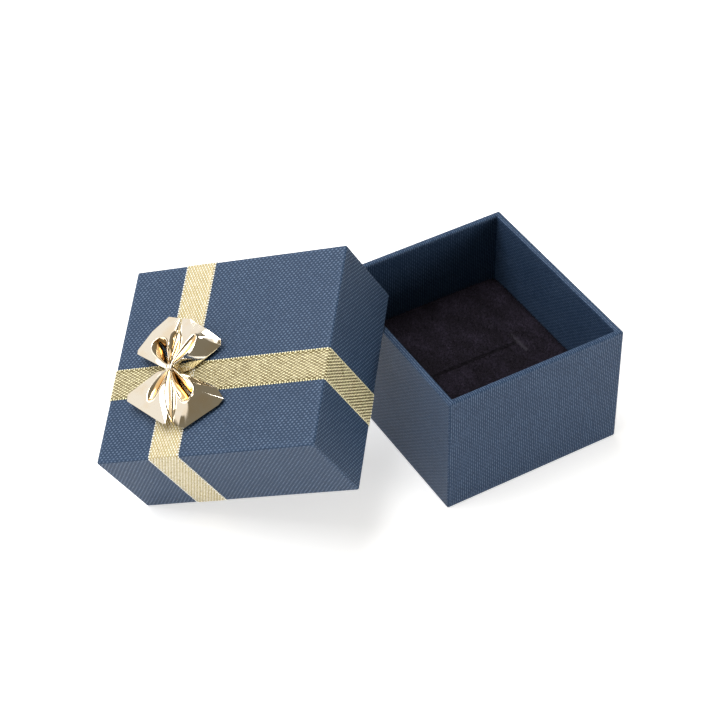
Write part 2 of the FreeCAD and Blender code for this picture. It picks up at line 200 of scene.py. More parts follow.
class Surface:
    """One material with its shader, ready for a finish to fill."""

    def __init__(self, name: str, **shader: object) -> None:
        """Start a material.

        Args:
            name: Name of the material.
            shader: Shader inputs by name, with underscores for spaces.
        """
        self.material = bpy.data.materials.new(name)
        self.material.use_nodes = True
        self.wiring = Wiring(self.material.node_tree)
        self.shader = self.material.node_tree.nodes["Principled BSDF"]
        for key, value in shader.items():
            self.set(key, value)

    def set(self, key: str, value: object) -> None:
        """Set a shader input, given by its name with underscores for spaces."""
        if isinstance(value, tuple) and len(value) == 3:
            value = (*value, 1.0)
        self.wiring.feed(self.shader.inputs[key.replace("_", " ")], value)

    def place(self) -> Socket:
        """Coordinates of the object, in metres."""
        return self.wiring.add("ShaderNodeTexCoord").outputs["Object"]

    def flat(self, name: str) -> Socket:
        """Coordinates of a named flat map."""
        return self.wiring.add("ShaderNodeUVMap", uv_map=name).outputs[0]

    def attribute(self, name: str) -> Socket:
        """Value of a named attribute."""
        return self.wiring.add("ShaderNodeAttribute", attribute_name=name).outputs["Fac"]

    def bump(self, height: object, depth: float, strength: float) -> Socket:
        """Raise the surface's detail.

        Args:
            height: Pattern, 0 to 1.
            depth: Height of the pattern in metres.
            strength: Share of the effect.

        Returns:
            The normal's socket.
        """
        inputs = {"Strength": strength, "Distance": depth, "Height": height}
        return self.wiring.add("ShaderNodeBump", inputs).outputs[0]


# Names of the maps and attributes that pieces carry and finishes read.
SHEET_MAP = "sheet_mm"
WEAVE_MAP = "weave_mm"
# The wear attribute carries edge wear on the papers, the lighter tone of the velvet's slit lips, and painted
# warm reflection on the foil.
WEAR_AND_PAINTED_LIGHT = "wear_and_painted_light_share"
TONE = "thread_tone"


@dataclass(frozen=True)
class EmbossedPaper:
    """Navy covering paper with slanted dashes pressed in staggered rows, their crests painted lighter as
    painted highlight.
    """

    name: str
    dash_pitch: float = 1.0
    row_pitch: float = 0.55
    slant: int = 1
    thread: float = 0.0
    turned: bool = False
    ground: Colour = (0.015, 0.036, 0.078)
    # Crest colour: painted highlight on the raised dashes.
    painted_crest_highlight: Colour = (0.100, 0.152, 0.240)
    worn: Colour = (0.088, 0.140, 0.235)
    depth: float = 0.05
    drift: float = 0.5
    speckle: float = 0.28

    def material(self) -> Material:
        """Build the paper's material.

        Returns:
            The material.
        """
        surface = Surface(self.name, Specular_IOR_Level=0.22, Sheen_Weight=0.03, Sheen_Roughness=0.4)
        w = surface.wiring
        place = surface.place()
        sheet = surface.flat(SHEET_MAP)
        wander = w.add("ShaderNodeTexNoise", {"Vector": place, "Scale": 90.0, "Detail": 1.0}).outputs[1]
        sheet = w.vector("ADD", sheet, w.scaled(w.vector("SUBTRACT", wander, (0.5, 0.5, 0.5)), self.drift))
        if self.turned:
            split = w.add("ShaderNodeSeparateXYZ", {0: sheet})
            sheet = w.add("ShaderNodeCombineXYZ", {0: split.outputs[1], 1: split.outputs[0]}).outputs[0]
        along, across = 2 * math.pi / self.dash_pitch, 2 * math.pi / self.row_pitch
        dashes = 1 - self.thread
        waves = [((-self.slant * across / 2, along, 0), 0.52 * dashes), ((0, 2 * along, 0), self.thread),
                 ((self.slant * across / 2, along, 0), 0.26 * dashes), ((across, 0, 0), 0.22 * dashes)]
        height: object = 0.0
        for direction, share in waves:
            wave = w.math("COSINE", w.vector("DOT_PRODUCT", sheet, direction))
            height = w.math("MULTIPLY_ADD", wave, share, height)
        speckle = w.noise(place, 1500.0, 2.0)
        height = w.math("ADD", height, w.ramp(speckle, 0.3, 0.7, -self.speckle, self.speckle, False))
        dash = w.ramp(height, 0.0, 0.9)
        stretched = w.vector("MULTIPLY", sheet, (0.07, 1.9, 1.0))
        threads = w.ramp(w.noise(stretched, 1.0, 2.5, 0.6), 0.56, 0.70)
        cloud = w.noise(place, 160.0, 3.0)
        # Crests take the lighter colour, a painted highlight; the valleys keep the paper's navy ground.
        colour = w.blend(dash, self.ground, self.painted_crest_highlight)
        colour = w.blend(w.math("MULTIPLY", threads, 0.45), colour, self.ground)
        colour = w.blend(w.ramp(cloud, 0.35, 0.7, 0.0, 0.22), colour, self.ground)
        wear_and_painted_light = w.math("MULTIPLY", surface.attribute(WEAR_AND_PAINTED_LIGHT), w.ramp(dash, 0.1, 0.8, 0.12, 0.75))
        wear_and_painted_light = w.math("MULTIPLY", wear_and_painted_light, w.ramp(cloud, 0.25, 0.65, 0.4, 1.0))
        surface.set("Base_Color", w.blend(wear_and_painted_light, colour, self.worn))
        polish = w.math("ADD", w.math("MULTIPLY", dash, -0.5), speckle)
        surface.set("Roughness", w.ramp(polish, 0.0, 0.7, 0.40, 0.60))
        relief = w.math("SUBTRACT", w.math("MULTIPLY", dash, 0.8), w.math("MULTIPLY", threads, 0.5))
        surface.set("Normal", surface.bump(relief, self.depth * MM, 0.9))
        return surface.material


@dataclass(frozen=True)
class FibrePaper:
    """Plain paper or board with fibres and flecks."""

    name: str
    ground: Colour
    fleck: Colour
    roughness: float
    grain: float = 900.0

    def material(self) -> Material:
        """Build the paper's material.

        Returns:
            The material.
        """
        surface = Surface(self.name, Specular_IOR_Level=0.35)
        w = surface.wiring
        place = surface.place()
        fibres = w.noise(w.vector("MULTIPLY", place, (1.0, 0.35, 0.6)), self.grain, 5.0, 0.65)
        cloud = w.noise(place, 140.0, 3.0)
        colour = w.blend(w.ramp(fibres, 0.35, 0.68), self.ground, self.fleck)
        surface.set("Base_Color", w.blend(w.ramp(cloud, 0.3, 0.7, 0.0, 0.35), colour, self.ground))
        surface.set("Roughness", w.ramp(fibres, 0.3, 0.7, self.roughness - 0.08, self.roughness + 0.1))
        surface.set("Normal", surface.bump(fibres, 0.03 * MM, 0.7))
        return surface.material


@dataclass(frozen=True)
class Velvet:
    """Black pile with a faint purple bloom."""

    name: str = "black_velvet"
    ground: Colour = (0.0065, 0.0045, 0.0085)
    bloom: Colour = (0.038, 0.031, 0.050)
    lips: Colour = (0.062, 0.056, 0.072)
    sheen: Colour = (0.75, 0.68, 0.85)

    def material(self) -> Material:
        """Build the velvet's material.

        Returns:
            The material.
        """
        surface = Surface(self.name, Roughness=0.85, Specular_IOR_Level=0.15, Sheen_Weight=0.10,
                          Sheen_Roughness=0.35, Sheen_Tint=self.sheen)
        w = surface.wiring
        place = surface.place()
        pile = w.noise(place, 2600.0, 2.0, 0.7)
        nap = w.noise(w.vector("MULTIPLY", place, (1.0, 0.6, 1.0)), 210.0, 4.0, 0.62)
        mottle = w.math("ADD", w.math("MULTIPLY", pile, 0.5), w.math("MULTIPLY", nap, 0.6))
        lips = w.math("MULTIPLY", surface.attribute(WEAR_AND_PAINTED_LIGHT), w.ramp(mottle, 0.40, 0.65, 0.35, 1.0))
        colour = w.blend(w.ramp(mottle, 0.45, 0.85), self.ground, self.bloom)
        surface.set("Base_Color", w.blend(lips, colour, self.lips))
        surface.set("Roughness", w.ramp(nap, 0.3, 0.7, 0.75, 0.95))
        surface.set("Normal", surface.bump(mottle, 0.12 * MM, 0.8))
        return surface.material


@dataclass(frozen=True)
class Foam:
    """Open-celled dark foam."""

    name: str = "pad_foam"
    ground: Colour = (0.05, 0.05, 0.055)
    pores: Colour = (0.014, 0.014, 0.016)

    def material(self) -> Material:
        """Build the foam's material.

        Returns:
            The material.
        """
        surface = Surface(self.name, Specular_IOR_Level=0.3)
        w = surface.wiring
        cells = w.add("ShaderNodeTexVoronoi", {"Vector": surface.place(), "Scale": 1800.0}).outputs[0]
        surface.set("Base_Color", w.blend(w.ramp(cells, 0.1, 0.6), self.ground, self.pores))
        surface.set("Roughness", w.ramp(cells, 0.1, 0.6, 0.75, 0.95))
        surface.set("Normal", surface.bump(cells, 0.15 * MM, 0.8))
        return surface.material


@dataclass(frozen=True)
class MetalThread:
    """Woven metal thread: bright floats over a dark gold ground, which is partly the core's own darker gold
    and partly painted shade in the gaps between floats.
    """

    name: str
    shine: Colour
    dull_core_and_gap_shade: Colour
    metallic: float
    roughness: float = 0.34

    def material(self) -> Material:
        """Build the thread's material.

        Returns:
            The material.
        """
        surface = Surface(self.name, Metallic=self.metallic, Specular_IOR_Level=0.6)
        w = surface.wiring
        place = surface.place()
        inputs = {"Vector": surface.flat(WEAVE_MAP), "Scale": 2.6, "Distortion": 1.5, "Detail": 1.0}
        twist = w.add("ShaderNodeTexWave", inputs).outputs[1]
        tone = surface.attribute(TONE)
        share = w.math("ADD", w.math("MULTIPLY", tone, 0.95), w.math("MULTIPLY", twist, 0.12))
        share = w.math("ADD", share, w.ramp(w.noise(place, 900.0, 2.0), 0.3, 0.7, -0.08, 0.08, False))
        # The strap carries no tone, so it takes the dark ground: the core's own gold darkened as painted
        # shade between the floats.
        surface.set("Base_Color", w.blend(share, self.dull_core_and_gap_shade, self.shine))
        fine = w.noise(place, 1700.0, 1.0)
        surface.set("Roughness", w.ramp(fine, 0.3, 0.7, self.roughness - 0.08, self.roughness + 0.12))
        surface.set("Normal", surface.bump(twist, 0.02 * MM, 0.6))
        return surface.material


@dataclass(frozen=True)
class Foil:
    """Mirror-bright champagne gold foil, faintly dented, with warm blotches and a warmer tone painted on the
    loops' insides and the folds' spines as painted warm reflection.
    """

    name: str = "gold_foil"
    ground: Colour = (0.96, 0.88, 0.74)
    # Second tone: random warm blotches, and painted warm reflection inside the loops and along the folds'
    # spines.
    warm_blotch_and_painted_reflection: Colour = (0.93, 0.66, 0.32)

    def material(self) -> Material:
        """Build the foil's material.

        Returns:
            The material.
        """
        surface = Surface(self.name, Metallic=1.0)
        w = surface.wiring
        place = surface.place()
        cloud = w.noise(place, 260.0, 3.0)
        # The inside share paints a warm reflection into the loops' insides and the folds' spines.
        inside = surface.attribute(WEAR_AND_PAINTED_LIGHT)
        share = w.math("ADD", w.ramp(cloud, 0.45, 0.75, 0.0, 0.3), w.math("MULTIPLY", inside, 0.8))
        surface.set("Base_Color", w.blend(share, self.ground, self.warm_blotch_and_painted_reflection))
        surface.set("Roughness", w.ramp(w.noise(place, 700.0, 3.0), 0.3, 0.75, 0.03, 0.11))
        dents = w.math("ADD", cloud, w.math("MULTIPLY", w.noise(place, 1300.0, 2.0), 0.12))
        surface.set("Normal", surface.bump(dents, 0.10 * MM, 0.3))
        return surface.material


@dataclass(frozen=True)
class Glue:
    """Clear hot-melt glue, a little cloudy."""

    name: str = "bow_glue"
    ground: Colour = (0.30, 0.22, 0.08)
    cloudy: Colour = (0.42, 0.33, 0.14)

    def material(self) -> Material:
        """Build the glue's material.

        Returns:
            The material.
        """
        surface = Surface(self.name, Subsurface_Weight=0.3, Coat_Weight=0.4)
        w = surface.wiring
        cloud = w.noise(surface.place(), 800.0, 2.0)
        surface.set("Base_Color", w.blend(cloud, self.ground, self.cloudy))
        surface.set("Roughness", w.ramp(cloud, 0.3, 0.7, 0.25, 0.45))
        surface.set("Normal", surface.bump(cloud, 0.05 * MM, 0.5))
        return surface.material


# ---------------------------------------------------------------- meshes


@dataclass
class Draft:
    """A mesh in the making, in millimetres, in a local frame."""

    points: list[Point] = field(default_factory=list)
    faces: list[tuple[int, ...]] = field(default_factory=list)
    flat: list[tuple[Pair, ...]] = field(default_factory=list)
    # Share of each point's second tone: edge wear on the papers, the velvet's lighter slit lips, and painted
    # warm reflection on the foil.
    wear_and_painted_light: list[float] = field(default_factory=list)

    def add_point(self, point: Point, wear_and_painted_light: float = 0.0) -> int:
        """Add a point.

        Args:
            point: Its place.
            wear_and_painted_light: Its share of the finish's second tone.

        Returns:
            Its index.
        """
        self.points.append(tuple(point))
        self.wear_and_painted_light.append(wear_and_painted_light)
        return len(self.points) - 1

    def add_face(self, corners: tuple[int, ...], flat: tuple[Pair, ...] | None = None) -> None:
        """Add a face.

        Args:
            corners: Point indices.
            flat: Flat coordinates of the corners; without them, the points' X and Y.
        """
        self.faces.append(tuple(corners))
        self.flat.append(flat or tuple(self.points[c][:2] for c in corners))

    def add_grid(self, grid: list[list[int]], close: bool = False) -> None:
        """Join rows of points with four-sided faces.

        Args:
            grid: Rows of point indices, all the same length.
            close: True to join the ends of each row.
        """
        for low, high in zip(grid, grid[1:]):
            count = len(low)
            for j in range(count if close else count - 1):
                k = (j + 1) % count
                self.add_face((low[j], low[k], high[k], high[j]))

    def build(self, name: str, place: Matrix, finish: Material, smooth: float = 40.0) -> Piece:
        """Turn the draft into an object whose place is in its mesh.

        Args:
            name: Name of the piece.
            place: Local frame in the world, in metres.
            finish: The piece's material.
            smooth: Angle in degrees above which an edge stays sharp.

        Returns:
            The object.
        """
        mesh = bpy.data.meshes.new(name)
        mesh.from_pydata([Vector(p) * MM for p in self.points], [], self.faces)
        layer = mesh.uv_layers.new(name=SHEET_MAP)
        layer.data.foreach_set("uv", [value for face in self.flat for corner in face for value in corner])
        wear_and_painted_light = mesh.attributes.new(WEAR_AND_PAINTED_LIGHT, "FLOAT", "POINT")
        wear_and_painted_light.data.foreach_set("value", self.wear_and_painted_light)
        mesh.transform(place)
        mesh.materials.append(finish)
        mesh.validate()
        mesh.shade_smooth()
        mesh.set_sharp_from_angle(angle=math.radians(smooth))
        piece = bpy.data.objects.new(name, mesh)
        bpy.context.scene.collection.objects.link(piece)
        return piece


def apply_modifiers(piece: Piece) -> None:
    """Turn the piece's evaluated shape into its plain mesh and drop its modifiers.

    Args:
        piece: The object.
    """
    bpy.context.view_layer.update()
    evaluated = piece.evaluated_get(bpy.context.evaluated_depsgraph_get())
    mesh = bpy.data.meshes.new_from_object(evaluated)
    piece.modifiers.clear()
    piece.data = mesh
    mesh.name = piece.name


def hand_over(piece: Piece, body: Body, slot: str, *nodes: str) -> None:
    """Put a finished piece on its body.

    Args:
        piece: The object.
        body: The body that it rides on.
        slot: Material slot of the record; not used.
        nodes: CAD nodes that it stands for.
    """
    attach(piece, body.value)
    if nodes:
        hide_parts(*nodes)
    triangles = sum(len(face.vertices) - 2 for face in piece.data.polygons)
    log.info("%s on %s: %d triangles", piece.name, body.value, triangles)


def dress_node(node: str, finish: Material) -> None:
    """Give a CAD node its finish.

    Args:
        node: Name of the node.
        finish: The material.
    """
    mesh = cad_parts[node].data
    mesh.materials.clear()
    mesh.materials.append(finish)
    log.info("%s keeps its CAD shape", node)


CORNERS = ("front_left", "front_right", "back_right", "back_left")

# On a straight run next to a bend: where the bend's wear is still strong, and where it has faded.
WEAR_NEAR = 0.1
WEAR_FAR = 0.7
# Points of a section deeper than this carry no wear from the upright corners.
WEAR_REACH = 0.3
# Half the width of the square that closes the middle of a flat panel.
PANEL_MIDDLE = 1.0


@dataclass(frozen=True)
class Stop:
    """One point of a wall's section: inset from the outside, height, outward direction and wear."""

    inset: float
    height: float
    normal: Pair
    wear_and_painted_light: float = 0.0


def bend(centre: Pair, radius: float, start: float, stop: float, wear_and_painted_light: float = 1.0,
         steps: int = 7) -> list[Stop]:
    """Round a corner of a section.

    Args:
        centre: Inset and height of the arc's centre.
        radius: Its radius.
        start: Direction of the first point in degrees, 0 towards the inside, 90 up.
        stop: Direction of the last point.
        wear_and_painted_light: Wear along the arc.
        steps: Number of segments.

    Returns:
        The points of the arc.
    """
    stops = []
    for k in range(steps + 1):
        angle = math.radians(start + (stop - start) * k / steps)
        normal = (math.cos(angle), math.sin(angle))
        stops.append(Stop(centre[0] + radius * normal[0], centre[1] + radius * normal[1], normal, wear_and_painted_light))
    return stops


@dataclass
class Walls:
    """Four straight walls with rounded upright corners, swept from one section."""

    half: Pair
    corner: float = 0.48
    corner_inside: float = 0.22
    corner_steps: int = 5
    side_shares: tuple[float, ...] = (0.0015, 0.014, 0.07, 0.16, 0.27, 0.38, 0.5, 0.62, 0.73, 0.84, 0.93,
                                      0.986, 0.9985)

    def ring(self, inset: float) -> list[tuple[float, float, int, float]]:
        """Points round one level, anticlockwise from the +X side.

        Args:
            inset: Distance in from the outside.

        Returns:
            X, Y, side number and corner wear of each point.
        """
        half_x, half_y = self.half[0] - inset, self.half[1] - inset
        radius = min(max(self.corner - inset, self.corner_inside), 0.45 * min(half_x, half_y))
        inner_x, inner_y = half_x - radius, half_y - radius
        centres = [(inner_x, inner_y), (-inner_x, inner_y), (-inner_x, -inner_y), (inner_x, -inner_y)]
        points = []
        for side in range(4):
            start, stop = centres[side - 1], centres[side]
            out = (math.cos(side * math.pi / 2), math.sin(side * math.pi / 2))
            for share in self.side_shares:
                x = start[0] + (stop[0] - start[0]) * share + radius * out[0]
                y = start[1] + (stop[1] - start[1]) * share + radius * out[1]
                points.append((x, y, side, 1.0 if min(share, 1 - share) < 0.01 else 0.0))
            for k in range(self.corner_steps + 1):
                angle = (side + k / self.corner_steps) * math.pi / 2
                x, y = stop[0] + radius * math.cos(angle), stop[1] + radius * math.sin(angle)
                points.append((x, y, side if k < self.corner_steps / 2 else (side + 1) % 4, 1.0))
        return points

    def sweep(self, draft: Draft, stops: list[Stop], reaches: list[float], close: bool,
              corner_wear: float = 0.3) -> None:
        """Sweep a section round the walls.

        Args:
            draft: Mesh to add to.
            stops: Points of the section, in the order that climbs outside and comes down inside.
            reaches: Distance of each point from the middle of the flat sheet, along X.
            close: True to join the last point to the first; otherwise both ends are filled.
            corner_wear: Wear on the upright corners.
        """
        rows, sides = [], []
        for stop in stops:
            ring = self.ring(stop.inset)
            share = corner_wear if stop.inset < WEAR_REACH else 0.0
            rows.append([draft.add_point((x, y, stop.height), max(stop.wear_and_painted_light, share * worn))
                         for x, y, _, worn in ring])
            sides = [side for _, _, side, _ in ring]
        count, extra = len(sides), self.half[1] - self.half[0]

        def unfolded(index: int, point: int, side: int) -> Pair:
            """Find where a point lies on the flat sheet.

            Args:
                index: Its place along the section.
                point: Its index in the mesh.
                side: Number of the wall that it belongs to.

            Returns:
                Its flat coordinates in millimetres.
            """
            x, y, _ = draft.points[point]
            reach = reaches[index]
            return [(reach, y), (x, reach + extra), (-reach, y), (x, -reach - extra)][side]

        last = len(rows) if close else len(rows) - 1
        for i in range(last):
            n = (i + 1) % len(rows)
            for j in range(count):
                k = (j + 1) % count
                side = sides[j]
                corners = (rows[i][j], rows[i][k], rows[n][k], rows[n][j])
                draft.add_face(corners, tuple(unfolded(index, corner, side)
                                              for index, corner in zip((i, i, n, n), corners)))
        if not close:
            draft.add_face(tuple(reversed(rows[0])))
            draft.add_face(tuple(rows[-1]))


def layer(stops: list[Stop], thickness: float) -> list[Stop]:
    """The hidden side of a sheet, in reverse order.

    Args:
        stops: Points of the side that shows.
        thickness: Thickness of the sheet.

    Returns:
        Points of the other side.
    """
    return [Stop(s.inset - thickness * s.normal[0], s.height - thickness * s.normal[1], s.normal, s.wear_and_painted_light)
            for s in reversed(stops)]


def sheet_reach(stops: list[Stop], half: float, turn: int) -> list[float]:
    """Distance of each point from the middle of the flat sheet.

    Args:
        stops: Points of the side that shows.
        half: Half of the walls' outside width.
        turn: Index of the point where the sheet leaves the flat panel, at one end of the wall.

    Returns:
        One distance for each point.
    """
    lengths = [0.0]
    for one, two in zip(stops, stops[1:]):
        lengths.append(lengths[-1] + math.dist((one.inset, one.height), (two.inset, two.height)))
    start = half - stops[turn].inset
    way = 1 if turn == 0 else -1
    return [start + way * (length - lengths[turn]) for length in lengths]


# ---------------------------------------------------------------- base


@dataclass
class Base:
    """The papered base with its board, stays, bottom sheet and floor lining."""

    paper: float = 0.15
    wall: float = 1.5
    turn_in: float = 20.0
    flap: float = 8.0
    rim: float = 0.5
    foot: float = 0.3
    foot_flat: float = 1.0
    foot_fade: float = 0.9
    plain_row: float = 10.0
    board_rim: float = 0.3
    board_foot: Pair = (0.3, 0.2)
    stay: float = 0.1

    def __post_init__(self) -> None:
        """Read the base's outside from the frame."""
        low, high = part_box("base_wrap")
        self.half = ((high.x - low.x) / 2 / MM, (high.y - low.y) / 2 / MM)
        self.bottom, self.top = low.z / MM, high.z / MM
        self.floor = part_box("base_floor_liner")[0].z / MM

    def build_cover(self, finish: Material) -> None:
        """Build the covering paper: under the foot, up the outside, over the rim and down inside.

        Args:
            finish: The paper's material.
        """
        low, top, wall, rim, foot = self.bottom, self.top, self.wall, self.rim, self.foot
        near, far, row = top - rim - WEAR_NEAR, top - rim - WEAR_FAR, self.plain_row
        stops = [Stop(self.flap, low, (0, -1)), Stop(foot + self.foot_flat, low, (0, -1))]
        stops += bend((foot, low + foot), foot, 270, 180)
        stops += [Stop(0, low + foot + self.foot_fade, (-1, 0)), Stop(0, low + row, (-1, 0)),
                  Stop(0, top - row, (-1, 0)), Stop(0, far, (-1, 0), 0.1), Stop(0, near, (-1, 0), 0.8)]
        stops += bend((rim, top - rim), rim, 180, 90)
        stops += bend((wall - rim, top - rim), rim, 90, 0)
        stops += [Stop(wall, near, (1, 0), 0.6), Stop(wall, far, (1, 0)), Stop(wall, top - row, (1, 0)),
                  Stop(wall, top - self.turn_in, (1, 0))]
        reach = sheet_reach(stops, self.half[0], 0)
        draft = Draft()
        Walls(self.half).sweep(draft, stops + layer(stops, self.paper), reach + reach[::-1], True)
        cover = draft.build("base_cover_paper", Matrix(), finish)
        hand_over(cover, Body.BASE, "navy_paper", "base_wrap")

    def build_board(self, finish: Material) -> None:
        """Build the board tray under the paper.

        Args:
            finish: The board's material.
        """
        outer, inner = self.paper + self.stay, self.wall - self.paper
        low, top, rim = self.bottom + self.paper, self.top - self.paper, self.board_rim
        middle = self.half[0] - PANEL_MIDDLE
        foot_in, foot_up = self.board_foot
        stops = [Stop(middle, low, (0, -1)), Stop(outer + foot_in, low, (0, -1)),
                 Stop(outer, low + foot_up, (-1, 0)), Stop(outer, top - rim, (-1, 0))]
        stops += bend((outer + rim, top - rim), rim, 180, 90) + bend((inner - rim, top - rim), rim, 90, 0)
        stops += [Stop(inner, self.floor, (1, 0)), Stop(middle, self.floor, (0, 1))]
        draft = Draft()
        Walls(self.half).sweep(draft, stops, sheet_reach(stops, self.half[0], 0), False, 0)
        board = draft.build("base_tray_board", Matrix(), finish)
        hand_over(board, Body.BASE, "board", "base_board")

    def dress_hidden(self, stays: Material, lining: Material, bottom: Material) -> None:
        """Give the corner stays, the floor lining and the bottom sheet their finishes.

        Args:
            stays: The stays' material.
            lining: The lining's material.
            bottom: The bottom sheet's material.
        """
        for corner in CORNERS:
            dress_node("base_corner_stay_" + corner, stays)
        dress_node("base_floor_liner", lining)
        dress_node("base_bottom_sheet", bottom)


# ---------------------------------------------------------------- lid


def flat_axes(node: str) -> tuple[Vector, Matrix]:
    """Find how a flat rectangular CAD sheet lies.

    Args:
        node: Name of the sheet's node.

    Returns:
        Its middle in metres, and its axes as columns: short side, long side, upward normal.
    """
    corners = np.unique(np.round([v.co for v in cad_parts[node].data.vertices], 7), axis=0)
    middle = corners.mean(0)
    axes = np.linalg.eigh(np.cov((corners - middle).T))[1]
    up, across = Vector(axes[:, 0]), Vector(axes[:, 1])
    up = up if up.z > 0 else -up
    across = across if across.x > 0 else -across
    along = up.cross(across)
    return Vector(middle), Matrix((across, along, up)).transposed()


class LidSpace:
    """The lid's own frame: middle of the rim, X across, Y along, Z to the top panel."""

    def __init__(self) -> None:
        """Read the lid's place from the frame."""
        # The lining's middle is the origin until the lid's own box is known.
        self.origin, self.axes = flat_axes("lid_liner")
        low, high = self.extent("lid_wrap")
        self.half = ((high.x - low.x) / 2, (high.y - low.y) / 2)
        self.tall = high.z - low.z
        self.origin += self.axes @ Vector(((high.x + low.x) / 2, (high.y + low.y) / 2, low.z)) * MM
        self.matrix = Matrix.Translation(self.origin) @ self.axes.to_4x4()

    def extent(self, node: str) -> tuple[Vector, Vector]:
        """Box of a CAD node in the lid's frame.

        Args:
            node: Name of the node.

        Returns:
            Lowest and highest corner in millimetres.
        """
        inverse = self.axes.inverted()
        local = np.array([inverse @ (v.co - self.origin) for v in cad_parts[node].data.vertices]) / MM
        return Vector(local.min(0)), Vector(local.max(0))


@dataclass
class Lid:
    """The papered lid shell with its board, stays and lining."""

    space: LidSpace
    paper: float = 0.15
    wall: float = 1.15
    board: float = 0.85
    turn_in: float = 14.0
    rim: float = 0.42
    top_edge: float = 0.5
    inside_row: float = 6.0
    inside_fade: float = 0.6
    side_rows: Pair = (7.0, 14.0)
    top_rows: tuple[float, ...] = (3.0, 7.0, 12.0, 18.0)
    board_edge: float = 0.4
    board_lip: float = 0.3
    stay: float = 0.1

    def build_cover(self, finish: Material) -> None:
        """Build the covering paper: up inside, round the rim, over the sides and across the top.

        Args:
            finish: The paper's material.
        """
        tall, wall, rim, edge = self.space.tall, self.wall, self.rim, self.top_edge
        stops = [Stop(wall, self.turn_in, (1, 0)), Stop(wall, self.inside_row, (1, 0)),
                 Stop(wall, rim + self.inside_fade, (1, 0)), Stop(wall, rim + WEAR_NEAR, (1, 0), 0.6)]
        stops += bend((wall - rim, rim), rim, 0, -90) + bend((rim, rim), rim, -90, -180)
        stops += [Stop(0, rim + WEAR_NEAR, (-1, 0), 0.7), Stop(0, rim + WEAR_FAR, (-1, 0))]
        stops += [Stop(0, row, (-1, 0)) for row in self.side_rows]
        stops += [Stop(0, tall - edge - WEAR_FAR, (-1, 0)), Stop(0, tall - edge - WEAR_NEAR, (-1, 0), 0.8)]
        stops += bend((edge, tall - edge), edge, 180, 90)
        turn = len(stops) - 1
        stops += [Stop(edge + WEAR_NEAR, tall, (0, 1), 0.8), Stop(edge + WEAR_FAR, tall, (0, 1), 0.1)]
        stops += [Stop(edge + row, tall, (0, 1)) for row in self.top_rows]
        stops += [Stop(self.space.half[0] - PANEL_MIDDLE, tall, (0, 1))]
        lengths = sheet_reach(stops, self.space.half[0], turn)
        reach = [self.space.half[0] - s.inset if k > turn else length
                 for k, (s, length) in enumerate(zip(stops, lengths))]
        draft = Draft()
        Walls(self.space.half).sweep(draft, layer(stops, self.paper) + stops, reach[::-1] + reach, False)
        cover = draft.build("lid_cover_paper", self.space.matrix, finish)
        hand_over(cover, Body.LID, "navy_paper", "lid_wrap")

    def build_board(self, finish: Material) -> None:
        """Build the board under the paper.

        Args:
            finish: The board's material.
        """
        outer, inner = self.paper + self.stay, self.wall - self.paper
        top, edge = self.space.tall - self.paper, self.board_edge
        roof, middle = top - self.board, self.space.half[0] - PANEL_MIDDLE
        lip, foot = self.board_lip, self.paper + self.board_lip
        stops = [Stop(middle, roof, (0, -1)), Stop(inner, roof, (1, 0)), Stop(inner, foot, (1, 0))]
        stops += bend((inner - lip, foot), lip, 0, -90, 0, 3)
        stops += bend((outer + lip, foot), lip, -90, -180, 0, 3)
        stops += bend((outer + edge, top - edge), edge, 180, 90, 0, 5) + [Stop(middle, top, (0, 1))]
        draft = Draft()
        Walls(self.space.half).sweep(draft, stops, sheet_reach(stops, self.space.half[0], 0), False, 0)
        board = draft.build("lid_shell_board", self.space.matrix, finish)
        hand_over(board, Body.LID, "board", "lid_board")

    def dress_hidden(self, stays: Material, lining: Material) -> None:
        """Give the corner stays and the lining their finishes.

        Args:
            stays: The stays' material.
            lining: The lining's material.
        """
        for corner in CORNERS:
            dress_node("lid_corner_stay_" + corner, stays)
        dress_node("lid_liner", lining)


# ---------------------------------------------------------------- geometry nodes


